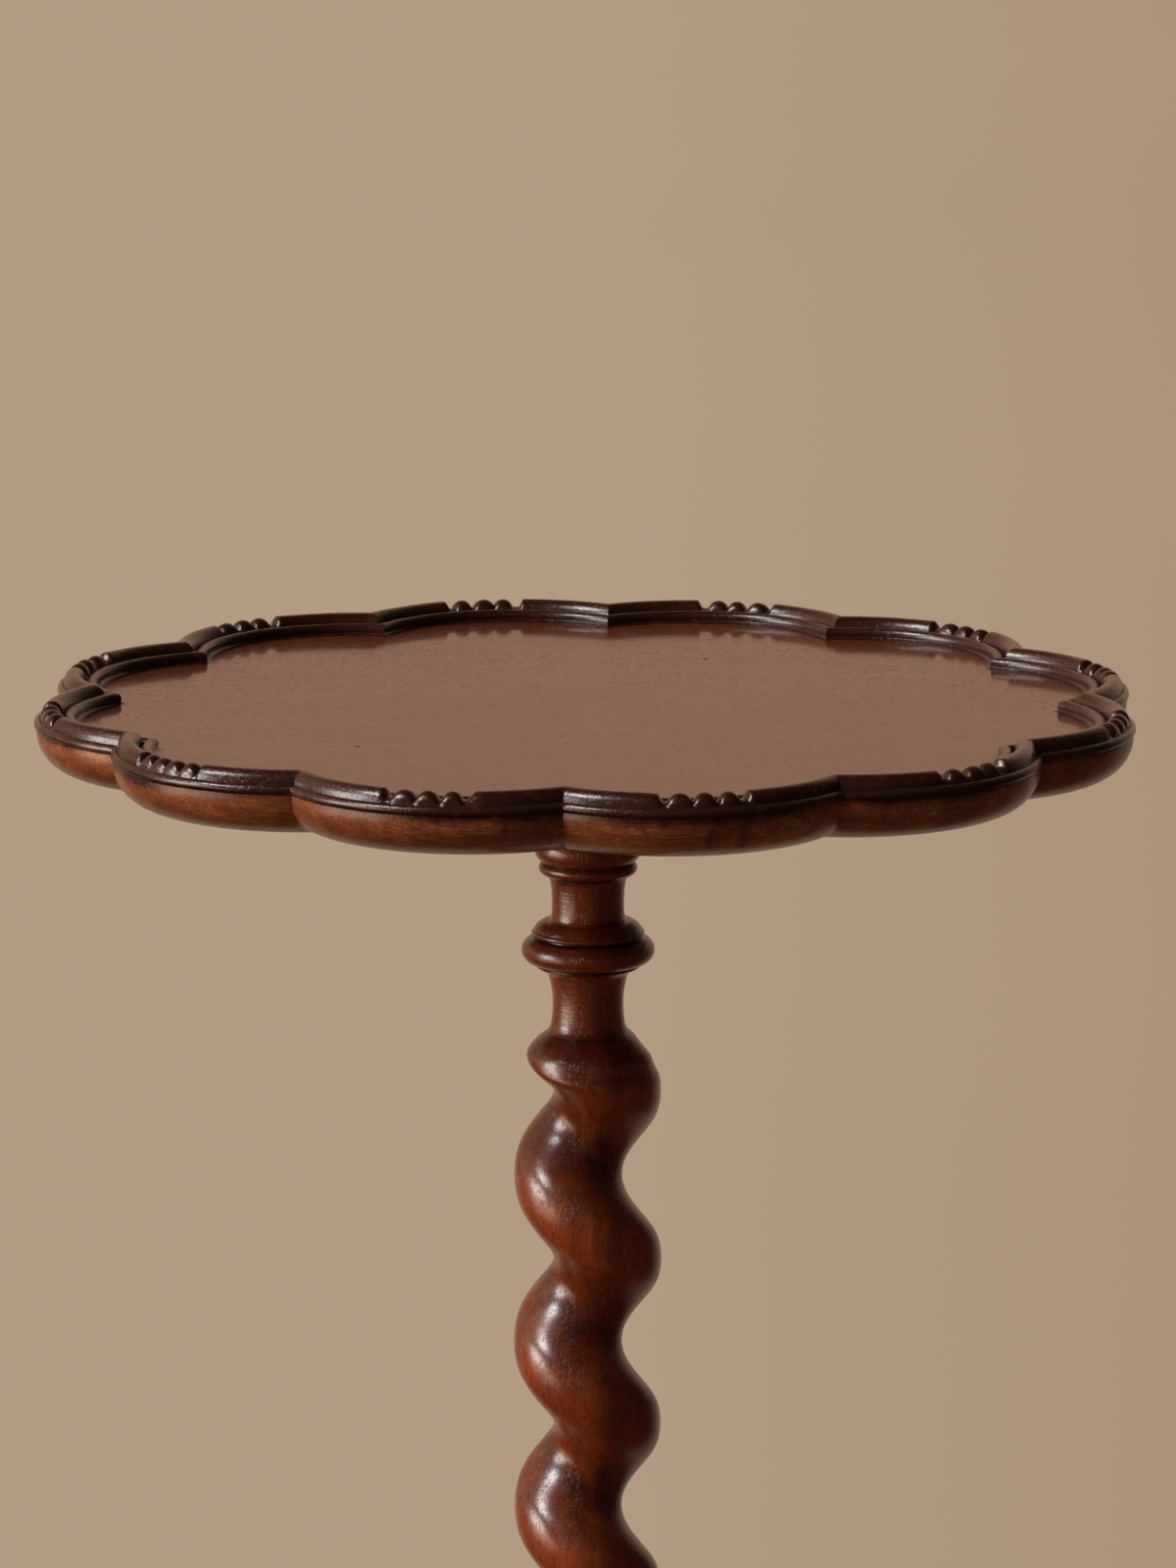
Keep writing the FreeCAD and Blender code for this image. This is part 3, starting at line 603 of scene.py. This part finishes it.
def crestShare(along, number):  # how much of the crest's height is left at a place along a lobe
    crest = ramp((abs(along) - tableTop["gapHalf"]) / tableTop["gapEnd"])
    four = number == tableTop["fourPearlLobe"]
    pearls = (-1.5, -0.5, 0.5, 1.5) if four else (-1, 0, 1)
    pitch = tableTop["pearlPitch"] * (tableTop["fourShare"] if four else 1)
    fall, rise = tableTop["pearlRound"]
    best = 0
    for place in pearls:
        wide = tableTop["pearlHalf"] * (1 + tableTop["pearlUneven"] * math.sin(number * 2.3 + place * 4.1))
        middle = place * pitch + tableTop["pearlShift"] * math.sin(number * 1.7 + place * 2.9)
        far = abs(along - middle) / wide
        if far < 1:
            best = max(best, tableTop["pearlTop"] * (1 - far**fall) ** rise)
    return tableTop["gapFloor"] + (1 - tableTop["gapFloor"]) * max(crest, best)


def patinaAndShadeShare(out, up, height, bend, drift):  # where dark polish has gathered on the crest, the lip, the dish's edge and in the valleys, darker towards the bottom, and painted shade along the mitres; by distances in mm
    dark = tableTop["polish"]
    crest = ramp((out + 9.4) / 1.6) * (1 - ramp((out - 3.2) / 3.2)) if up > -6 else 0
    lip = (1 - ramp((-up - 5.0 - drift) / 3.2)) * ramp((out - 1.5) / 2)
    low = ramp((-up - 13) / 5)
    dish = ramp((out + 10.2) / 2.4) if up > tableTop["dishUnder"] else 0
    # painted shade in the crease where two lobes of the bowl meet
    mitreShade = ramp((abs(bend) - 0.76) / 0.06) if out > 2 else 0
    most = max(dark["crest"] * crest, dark["lip"] * lip, dark["low"] * low, dark["dish"] * dish)
    return min(most + dark["valley"] * (1 - height) + dark["mitreShade"] * mitreShade, 1.0)


def makeTableTop():
    piece = makeLobe()
    selectAll()
    bpy.ops.mesh.spin(steps=tableTop["lobes"] - 1, dupli=True, center=(0, 0, 0), axis=(0, 0, 1),
                      angle=2 * math.pi * (tableTop["lobes"] - 1) / tableTop["lobes"])
    closeShape()
    carveCrest(piece)
    smooth(piece, 46)
    finishPiece(piece, topWood, "table_top")
    print("table top made:", len(piece.data.polygons), "faces")


# Boss

boss = {"discRadius": 47.0, "coveRadius": 36.0, "lip": 14.9, "foot": 13.3, "steps": 96}


def makeBoss():
    height = (bossHigh.z - bossLow.z) / mm
    profile = [
        (9.3, 0), (boss["foot"] - 0.3, 0), (boss["foot"], 0.25),
        *arc((boss["lip"] - 2.8, 3.8), (2.8, 3.6), -60, 48, 9),
        *arc((boss["coveRadius"], 7.2), (13.9 - boss["coveRadius"], height - 15.2), 0, 86, 16),
        (boss["coveRadius"], height - 8.0),
        (boss["coveRadius"] + 0.8, height - 8.6),
        *arc((boss["discRadius"] - 4.2, height - 4.4), (4.2, 4.2), -88, 0, 8),
        (boss["discRadius"], height - 0.4), (boss["discRadius"] - 0.4, height), (9.3, height),
    ]
    profile.append(profile[0])
    piece = spinProfile("topBoss", profile, bossLow.z, boss["steps"])
    markCorners(piece, "turned", lambda corner: 1)
    markCorners(piece, "patinaAndShade", bossPatina)
    smooth(piece, 40)
    finishPiece(piece, columnWood, "top_boss")
    print("boss made")


def bossPatina(corner):  # darker at its foot and at the disc's edge
    radius = corner.co.xy.length / mm
    up = (corner.co.z - bossLow.z) / mm
    return min(0.1 + 0.6 * (1 - ramp(up / 1.1)) + 0.4 * ramp((radius - 44) / 3), 1)


def markCorners(piece, name, share):  # an attribute of the corners, for the materials
    marks = piece.data.attributes.new(name, "FLOAT", "POINT")
    for corner in piece.data.vertices:
        marks.data[corner.index].value = share(corner)


# Column

column = {
    "steps": 96,
    "strandRadius": 15.0, "strandOffset": 5.5, "pitch": 48.0, "startAngle": -138.75,
    "ringSides": 88, "ringStep": 0.8, "lateTurn": 30.0, "lateReach": 20.0,
    "flank": 0.11,  # the strand is this share wider across its way out
    "fullness": 3.0, "fullFrom": 4.0, "fullReach": 14.0,
    # the shoulder's rise from the neck, how far it leans, and where it lets the strand go
    "fillet": 0.6, "shoulder": 9.0, "neck": 9.75, "shoulderRadius": 18.3, "lean": 0.9,
    "release": 8.0, "releaseCurve": 0.1, "sharp": 0.2, "soft": 1.0, "softFrom": (0, 6.5), "softReach": 5,
    "waves": ((26, 0.25), (70, 0.07)), "waveRadius": 16,
    # dark polish in the quirks, and a broad band darker over the dome's top: how far under the boss each
    # lies, how far it reaches and how dark it is
    "quirks": ((3.7, 1.7, 0.85), (21.2, 1.7, 0.85), (29.0, 1.7, 0.85), (18.6, 3.4, 0.5)),
    "hollowFrom": 9.5, "hollowReach": 6.5,
    "tenonRadius": 9.0, "kerfDepth": 20.0, "kerfWidth": 3.2, "kerfFoot": 1.2,
    "upperLength": 46.6, "beadToTwist": 25.6, "overlap": 2.2,
    "blockHeight": 64.0, "blockRadius": 25.0, "beadHeight": 7.0, "vaseHeight": 69.0,
}


twistTop = bossLow.z - column["upperLength"] * mm
twistLow = columnLow.z + (column["blockHeight"] + column["beadHeight"] + column["vaseHeight"]
                          + column["beadToTwist"]) * mm


def beadLine():  # bead, cove and long neck, whose end flares into the twist's shoulder
    return [
        (13.9, -0.1), (13.9, 0.25), (14.4, 0.4),
        *arc((14.7, 3.95), (3.75, 3.6), -76, 78, 12),
        (15.0, 7.7), (14.5, 7.85), (14.45, 8.5), (14.0, 8.75),
        *arc((14.3, 12.0), (3.5, 3.15), -97, -172, 7),
        (10.5, 13.0), (10.1, 15.0), (9.85, 17.5), (9.8, 19.5), (9.9, 21.8), (10.15, 24.0), (10.24, 24.6),
        (10.39, 25.22), (10.54, 25.7), (10.71, 26.15), (10.9, 26.52), (11.12, 26.84), (11.36, 27.06),
    ]


def makeUpperTurning():  # from the tenon down into the twist
    tenon = (bossHigh.z - bossLow.z) / mm
    upper = [(0, tenon), (column["tenonRadius"] - 0.5, tenon), (column["tenonRadius"], tenon - 0.5),
             (column["tenonRadius"], 0),
             (12.9, 0), *arc((11.9, -1.75), (1.75, 1.7), 72, -66, 9),
             (12.3, -3.55), (11.4, -3.65), (11.2, -4.0), (10.8, -4.6), (10.45, -5.6), (10.15, -7.5),
             (10.0, -10.5), (9.98, -13.0), (10.15, -15.2), (10.45, -16.2), (11.0, -16.7),
             *arc((10.6, -19.9), (4.5, 3.3), 74, 14, 8),
             *arc((14.85, -20.05), (0.8, 0.75), 62, -70, 6), (14.0, -20.95), (13.9, -21.05)]
    shift = column["upperLength"] - column["beadToTwist"]
    upper += [(radius, -shift - down) for radius, down in beadLine()]
    upper += [(radius, -column["upperLength"] - column["overlap"]) for radius in (11.0, 0)]
    piece = spinProfile("upperTurning", upper, bossLow.z, column["steps"])
    cutKerf(piece)
    return piece


def cutKerf(tenon):  # the cut that the wedge fills, narrower at its foot
    bpy.ops.mesh.primitive_cube_add(size=1, location=(0, 0, 0), enter_editmode=True)
    kerf = bpy.context.object
    depth = column["kerfDepth"] * mm
    bpy.ops.transform.resize(value=(3 * column["tenonRadius"] * mm, column["kerfWidth"] * mm, depth))
    bpy.ops.transform.translate(value=(0, 0, bossHigh.z - depth / 2))
    pick(kerf, lambda co: co.z < bossHigh.z - depth / 2)
    bpy.ops.transform.resize(value=(1, column["kerfFoot"] / column["kerfWidth"], 1),
                             center_override=(0, 0, 0))
    pick(kerf, lambda co: co.z > bossHigh.z - depth / 2)
    bpy.ops.transform.translate(value=(0, 0, mm))
    bpy.ops.object.mode_set(mode="OBJECT")
    cutOut(tenon, kerf)


def makeLowerTurning():  # block, vase and bead, and up into the twist
    blockTop = column["blockHeight"]
    vaseFoot = blockTop + column["beadHeight"]
    vaseTop = vaseFoot + column["vaseHeight"]
    lower = [(0, 0), (column["blockRadius"] - 1.2, 0), (column["blockRadius"], 1.2),
             (column["blockRadius"], blockTop - 1.4), (column["blockRadius"] - 0.9, blockTop - 0.4),
             (column["blockRadius"] - 0.9, blockTop),
             *arc((column["blockRadius"] - 0.6, blockTop + 3.5), (3.6, 3.3), -78, 78, 12),
             (column["blockRadius"] - 1.4, vaseFoot), (17.0, vaseFoot + 0.3), (16.4, vaseFoot + 1.4),
             *arc((16.2, vaseFoot + 13), (6.3, 11.8), -82, 0, 8),
             *arc((17.25, vaseFoot + 13), (5.25, 18.0), 8, 80, 8),
             *arc((17.25, vaseTop - 0.5), (-5.25, 37.6), -80, -3, 12),
             (12.1, vaseTop - 0.3), (12.6, vaseTop - 0.15)]
    lower += [(radius, vaseTop + up) for radius, up in beadLine()]
    lower += [(radius, vaseTop + column["beadToTwist"] + column["overlap"]) for radius in (11.0, 0)]
    return spinProfile("lowerTurning", lower, columnLow.z, column["steps"])


def makeTwist():
    rings = round((twistTop - twistLow) / (column["ringStep"] * mm))
    winding = [strandCentre(twistTop + (twistLow - twistTop) * ring / rings) for ring in range(rings + 1)]
    deselectAll()
    bpy.ops.mesh.primitive_circle_add(vertices=column["ringSides"], radius=column["strandRadius"] * mm,
                                      fill_type="NGON", location=(0, 0, 0), enter_editmode=True)
    piece = bpy.context.object
    bpy.ops.transform.translate(value=winding[0])
    for last, centre in zip(winding, winding[1:]):
        bpy.ops.mesh.extrude_region_move(TRANSFORM_OT_translate={"value": centre - last})
    closeShape()
    for corner in piece.data.vertices:
        place = corner.co
        edge = min(twistTop - place.z, place.z - twistLow) / mm
        share = min(max((edge - column["fillet"]) / column["shoulder"], 0), 1)
        centre = strandCentre(place.z).xy
        spoke = place.xy - centre
        way = centre.normalized()
        spoke += (spoke - way * spoke.dot(way)) * column["flank"]
        place.xy = centre + spoke
        if edge < column["fullFrom"] + column["fullReach"]:
            fuller = 1 - ramp((edge - column["fullFrom"]) / column["fullReach"])
            place.xy = centre + spoke * (1 + column["fullness"] * fuller / column["strandRadius"])
            holdShoulder(place, edge, share)
        place.xy *= 1 + waves(place, column["waves"]) / column["waveRadius"] * share
    return piece


def holdShoulder(place, edge, share):  # rounds both ends into the necks with a soft limit
    radius = place.xy.length / mm
    limit = column["shoulderRadius"] + column["lean"] * place.x / mm / radius
    limit = column["neck"] + (limit - column["neck"]) * (1 - (1 - share) ** 2)
    limit += column["releaseCurve"] * max(edge - column["release"], 0) ** 2
    softness = sum(ramp((edge - start) / column["softReach"]) for start in column["softFrom"])
    softness = column["sharp"] + (column["soft"] - column["sharp"]) * softness
    held = -softness * math.log(math.exp(-radius / softness) + math.exp(-limit / softness))
    place.xy *= held / radius


def strandCentre(level):  # the strand winds left-handed on its way down, slower at both ends
    late = (ramp(1 - (twistTop - level) / mm / column["lateReach"])
            - ramp(1 - (level - twistLow) / mm / column["lateReach"]))
    angle = math.radians(column["startAngle"] - column["lateTurn"] * late)
    angle += 2 * math.pi * (twistTop - level) / (column["pitch"] * mm)
    reach = column["strandOffset"] * mm
    return Vector((reach * math.cos(angle), reach * math.sin(angle), level))


def makeColumn():
    parts = ((makeUpperTurning(), 1, turningPatinaAndShade), (makeLowerTurning(), 1, turningPatinaAndShade),
             (makeTwist(), 0, twistPatinaAndShade))
    for piece, turned, patinaAndShade in parts:
        markCorners(piece, "turned", lambda corner: turned)
        markCorners(piece, "patinaAndShade", patinaAndShade)
    whole = joinPieces("turnedColumn", *[piece for piece, turned, patinaAndShade in parts])
    smooth(whole, 40)
    finishPiece(whole, columnWood, "column")
    print("column made:", len(whole.data.polygons), "faces")


# how much a corner faces up, used to paint shade on the column's upward faces
def facesUp(corner):
    return ramp((corner.normal.z + 0.05) / 0.55)


def turningPatinaAndShade(corner):  # dark polish in the quirks of the turning, and painted shade where it faces up
    down = (bossLow.z - corner.co.z) / mm
    gathered = [dark * (1 - ramp(abs(down - place) / reach)) for place, reach, dark in column["quirks"]]
    return max(0.12, 0.45 * facesUp(corner), *gathered)


def twistPatinaAndShade(corner):  # darker in the hollows, and painted shade where it faces up
    hollow = 1 - ramp((corner.co.xy.length / mm - column["hollowFrom"]) / column["hollowReach"])
    return 0.06 + 0.3 * hollow + 0.42 * facesUp(corner)


# Legs

leg = {
    "width": 20.0, "ankleWidth": 13.5, "taperFrom": 41, "taperReach": 95, "rounding": 3,
    "between": 3, "crease": 0.6,  # sections drawn for each one listed, and how crisp the long edges are
    # how far out a section is, its upper edge and its lower edge, in mm
    "sections": ((22.5, 98.0, 48.0), (24.5, 98.0, 48.0), (36.0, 96.8, 47.9), (48.0, 92.4, 46.4),
                 (60.0, 85.0, 43.0), (73.0, 73.5, 37.4), (85.0, 60.0, 30.8), (97.0, 42.5, 21.8),
                 (108.0, 28.0, 13.6), (120.0, 17.5, 7.2), (133.0, 11.2, 4.0), (141.0, 9.2, 3.6)),
    "footCircle": 136.0, "footSteps": 56,
    "places": (("frontLeg", -90, "front_leg"), ("rearRightLeg", 30, "rear_right_leg"),
               ("rearLeftLeg", 150, "rear_left_leg")),
}


def smoothSections(points, count):  # puts sections in between, on a smooth curve through all of them
    result = []
    for number in range(len(points) - 1):
        near = [points[min(max(number + step, 0), len(points) - 1)] for step in (-1, 0, 1, 2)]
        for step in range(count):
            result.append(tuple(between(step / count, *values) for values in zip(*near)))
    return result + [points[-1]]


def between(share, before, start, end, after):  # a share of the way on a curve through all four
    square = 2 * before - 5 * start + 4 * end - after
    cube = 3 * start - before - 3 * end + after
    return start + 0.5 * share * (end - before + share * (square + share * cube))


def makeLegBar():  # the curved bar, extruded outwards along X section by section
    deselectAll()
    bpy.ops.mesh.primitive_plane_add(size=1, location=(0, 0, 0), enter_editmode=True)
    bar = bpy.context.object
    bpy.ops.transform.rotate(value=math.radians(90), orient_axis="Y", center_override=(0, 0, 0))
    lastCentre, lastWide, lastTall = Vector((0, 0, 0)), 1, 1
    for number, (reach, high, low) in enumerate(smoothSections(leg["sections"], leg["between"])):
        share = ramp((reach - leg["taperFrom"]) / leg["taperReach"])
        wide = (leg["width"] * (1 - share) + leg["ankleWidth"] * share) * mm
        tall = (high - low) * mm
        centre = Vector((reach, 0, (high + low) / 2)) * mm
        if number:
            bpy.ops.mesh.extrude_region_move(TRANSFORM_OT_translate={"value": centre - lastCentre})
        else:
            bpy.ops.transform.translate(value=centre)
        bpy.ops.transform.resize(value=(1, wide / lastWide, tall / lastTall), center_override=centre)
        lastCentre, lastWide, lastTall = centre, wide, tall
    pickEdges(bar, lambda way: abs(way.x) > 0.1 * mm)
    bpy.ops.transform.edge_crease(value=leg["crease"])
    closeShape()
    rounding = bar.modifiers.new("rounding", "SUBSURF")
    rounding.levels = rounding.render_levels = leg["rounding"]
    bpy.ops.object.modifier_apply(modifier=rounding.name)
    return bar


def makeFoot():  # the turned pad
    profile = [(0, 0), (11.2, 0), *arc((11.5, 4.3), (2.4, 4.2), -80, 30, 9),
               (12.4, 7.2), (10.4, 8.7), (7.5, 9.4), (0, 9.6)]
    middle = Vector((leg["footCircle"] * mm, 0, 0))
    foot = drawLine("foot", [middle + Vector((radius, 0, up)) * mm for radius, up in profile])
    bpy.ops.mesh.spin(steps=leg["footSteps"], angle=2 * math.pi, center=middle, axis=(0, 0, 1))
    closeShape()
    return foot


def makeLegs():
    first = joinPieces("leg", makeLegBar(), makeFoot())
    markCorners(first, "patinaAndShade", lambda corner: 0.15 + 0.35 * (1 - ramp(corner.co.z / mm / 14)))
    smooth(first, 50)
    for name, angle, node in leg["places"]:
        piece = addObject(name, first.data.copy())
        piece.data.name = name
        piece.data.transform(Matrix.Rotation(math.radians(angle), 4, "Z"))
        finishPiece(piece, legWood, node)
    bpy.data.objects.remove(first)
    print("legs made")


# Screws

screw = {
    "headRadius": 3.4, "headHeight": 1.6, "shank": 1.6, "point": 1.5, "steps": 32,
    "slotWidth": 0.9, "slotDepth": 0.8, "circle": 38.0,
    # the way from the axis in degrees, and the turn of the slot in radians
    "places": ((12.46, 0.7), (132.46, 2.0), (252.46, 3.3)),
}


def makeScrews():
    low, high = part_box("boss_screws")
    head = screw["headRadius"]
    length = (high.z - low.z) / mm
    profile = [(0, 0), *[(head * share, screw["headHeight"] * (1 - (1 - share**2) ** 0.5) * 0.9)
                         for share in (0.3, 0.55, 0.75, 0.9, 0.98)],
               (head, screw["headHeight"]), (screw["shank"], screw["headHeight"]),
               (screw["shank"], length - screw["point"]), (0, length)]
    first = spinProfile("bossScrew", profile, low.z, screw["steps"])
    bpy.ops.mesh.primitive_cube_add(size=1, location=(0, 0, low.z + screw["slotDepth"] / 2 * mm - 0.5 * mm))
    cutter = bpy.context.object
    cutter.scale = (2 * head * mm + mm, screw["slotWidth"] * mm, screw["slotDepth"] * mm + mm)
    cutOut(first, cutter)
    screws = []
    for turn, slot in screw["places"]:
        piece = addObject("bossScrew", first.data.copy())
        piece.data.transform(Matrix.Rotation(slot, 4, "Z"))
        piece.data.transform(Matrix.Translation(towards(math.radians(turn)) * screw["circle"] * mm))
        screws.append(piece)
    bpy.data.objects.remove(first)
    whole = joinPieces("bossScrews", *screws)
    smooth(whole, 35)
    finishPiece(whole, screwSteel, "boss_screws")
    print("screws made")


# Floor, light and camera

studio = {
    "wall": (0.463, 0.346, 0.242), "mirrored": (0.57, 0.348, 0.241),  # seen, and as the polish mirrors it
    "floorSize": 120, "floorColour": (0.35, 0.277, 0.208), "mottle": 0.03, "floorGlow": 0.495,
    "rightShade": (0.915, 0.875, 0.855), "rightReach": 5.7, "nearest": 0.9,  # painted falloff of light: darker on the right
    # the room's bright back and left side, and its dark front, in reflections
    "darkSide": 0.05, "brightFrom": 0.5, "brightTo": 0.86,
    "leftWall": 1.2, "leftFrom": 0.35, "leftTo": 0.8, "leftFront": 0.3, "leftBack": 0.42,
    # a glowing patch on the floor, seen only in reflections, a painted highlight standing in for a window:
    # the way it lies, how wide it is, where it starts, its brightness
    "patchWay": 70, "patchFrom": 0.88, "patchTo": 0.955, "patchNear": 1.3, "patchFar": 2.0, "patchGlow": 9.0,
    # strength, degrees left of the camera's side, height in degrees, softness in degrees, colour
    "lights": (("highWindow", 2.05, 66, 42, 19, (1.0, 0.96, 0.92)),
               ("lowWindow", 2.2, 76, 8, 28, (1.0, 0.96, 0.92)),
               ("softFill", 0.08, 20, 25, 80, (1.0, 0.98, 0.96))),
    "worldStrength": 0.13,
    "cameraPlace": (0.0, -1.7959, 0.8917), "cameraTilt": 78.71, "lens": 152.7,
}


def seenDirectly(tree, path):  # by the camera, also through glass
    return addMath(tree, "MAXIMUM", path.outputs["Is Camera Ray"], path.outputs["Is Transmission Ray"])


def addPatch(tree, place, way):  # a mask of the floor's glowing patch, a painted highlight seen only in reflections
    turn = math.radians(studio["patchWay"])
    facing = addVectorMath(tree, "DOT_PRODUCT", way, (-math.sin(turn), -math.cos(turn), 0))
    patch = addStep(tree, facing, studio["patchFrom"], studio["patchTo"])
    reach = addMath(tree, "DIVIDE", addVectorMath(tree, "LENGTH", place), 10.0)  # a ramp ends at 1
    reach = addStep(tree, reach, studio["patchNear"] / 10, studio["patchFar"] / 10)
    return addMath(tree, "MULTIPLY", patch, reach)


def makeFloor():  # pale, with a dim side for reflections where the room is dark
    deselectAll()
    bpy.ops.mesh.primitive_plane_add(size=studio["floorSize"], location=(0, 0, 0))
    floor = bpy.context.object
    floor.name = "paleFloor"
    material, tree, surface = newMaterial("paleFloor")
    place = addNode(tree, "TexCoord").outputs["Object"]
    wide = addNoise(tree, place, 0.35, 3.0, 0.5)
    tint = tuple(part * (1 - studio["mottle"]) for part in studio["floorColour"])
    bright = tuple(part * (1 + studio["mottle"]) for part in studio["floorColour"])
    pale = addRamp(tree, wide, (0.3, tint), (0.7, bright))
    parts = addNode(tree, "SeparateXYZ", {0: place})
    # painted shade: the floor and its glow darken towards the right, as if the light fell off there
    away = addMath(tree, "SUBTRACT", parts.outputs["Y"], studio["cameraPlace"][1])
    aside = addMath(tree, "DIVIDE", parts.outputs["X"], addMath(tree, "MAXIMUM", away, studio["nearest"]))
    aside = addMath(tree, "MULTIPLY_ADD", aside, studio["rightReach"], 0.5)
    shade = addRamp(tree, aside, (0.5, 1.0), (1.0, studio["rightShade"]))
    pale = addMix(tree, 1.0, pale, shade, "MULTIPLY")
    path = addNode(tree, "LightPath")
    glossy = path.outputs["Is Glossy Ray"]
    way = addVectorMath(tree, "NORMALIZE", place)
    depth = addNode(tree, "SeparateXYZ", {0: way}).outputs["Y"]
    back = addStep(tree, depth, studio["brightFrom"], studio["brightTo"])
    dim = addMath(tree, "MULTIPLY", glossy, addMath(tree, "SUBTRACT", 1.0, back))
    dark = tuple(part * studio["darkSide"] for part in studio["floorColour"])
    mirrored = addMath(tree, "MULTIPLY", glossy, back)
    shown = addMath(tree, "MAXIMUM", seenDirectly(tree, path), mirrored)
    # painted highlight: the floor's patch glows in reflections only, standing in for a window's light
    paintedPatch = addMath(tree, "MULTIPLY", addPatch(tree, place, way), glossy)
    glow = addMath(tree, "MULTIPLY", shown, studio["floorGlow"])
    glow = addMath(tree, "MULTIPLY_ADD", paintedPatch, studio["patchGlow"], glow)
    feed(surface, {"Base Color": addMix(tree, dim, pale, dark), "Roughness": 1.0, "Specular IOR Level": 0.0,
                   "Emission Color": addMix(tree, 1.0, studio["wall"], shade, "MULTIPLY"),
                   "Emission Strength": glow})
    setMaterial(floor, material)


def makeWorld():  # pale where it is seen, and dark behind the camera for reflections
    world = bpy.data.worlds.new("studio")
    world.use_nodes = True
    bpy.context.scene.world = world
    tree = world.node_tree
    tree.nodes.clear()
    light = addNode(tree, "Background", {"Color": studio["wall"], "Strength": studio["worldStrength"]})
    way = addNode(tree, "TexCoord").outputs["Generated"]
    parts = addNode(tree, "SeparateXYZ", {0: way})
    back = addRamp(tree, parts.outputs["Y"], (studio["brightFrom"], studio["darkSide"]),
                   (studio["brightTo"], 1.0))
    aside = addRamp(tree, addMath(tree, "MULTIPLY", parts.outputs["X"], -1.0),
                    (studio["leftFrom"], 0.0), (studio["leftTo"], studio["leftWall"]))
    behind = addStep(tree, addMath(tree, "MULTIPLY_ADD", parts.outputs["Y"], 0.5, 0.5),
                     studio["leftFront"], studio["leftBack"])
    aside = addMath(tree, "MULTIPLY", aside, behind)
    back = addMath(tree, "MAXIMUM", back, aside)
    path = addNode(tree, "LightPath")
    glossy = path.outputs["Is Glossy Ray"]
    direct = seenDirectly(tree, path)
    colour = addMix(tree, glossy, studio["wall"], studio["mirrored"])
    seen = addNode(tree, "Background", {"Color": colour, "Strength": addMath(tree, "MAXIMUM", direct, back)})
    shown = addMath(tree, "MAXIMUM", direct, glossy)
    mixed = addNode(tree, "MixShader", {0: shown, 1: light.outputs[0], 2: seen.outputs[0]})
    addNode(tree, "OutputWorld", {0: mixed.outputs[0]})


def addSun(name, strength, way, height, softness, colour):
    light = bpy.data.lights.new(name, "SUN")
    light.energy = strength
    light.color = colour
    light.angle = math.radians(softness)
    lamp = addObject(name, light)
    turn = math.radians(way)
    up = math.radians(height)
    source = Vector((-math.sin(turn) * math.cos(up), -math.cos(turn) * math.cos(up), math.sin(up)))
    lamp.rotation_euler = source.to_track_quat("Z", "Y").to_euler()
    lamp.location = source * 3


def makeStudio():
    makeFloor()
    makeWorld()
    for light in studio["lights"]:
        addSun(*light)
    camera = addObject("camera", bpy.data.cameras.new("camera"))
    camera.location = studio["cameraPlace"]
    camera.rotation_euler = (math.radians(studio["cameraTilt"]), 0, 0)
    camera.data.lens = studio["lens"]
    camera.data.sensor_width = 36
    camera.data.clip_end = 200
    bpy.context.scene.camera = camera
    bpy.context.scene.view_settings.view_transform = "Standard"
    print("studio ready")


makeTableTop()
makeBoss()
makeColumn()
makeLegs()
makeScrews()
setMaterial(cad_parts["tenon_wedge"], wedgeWood)
makeStudio()
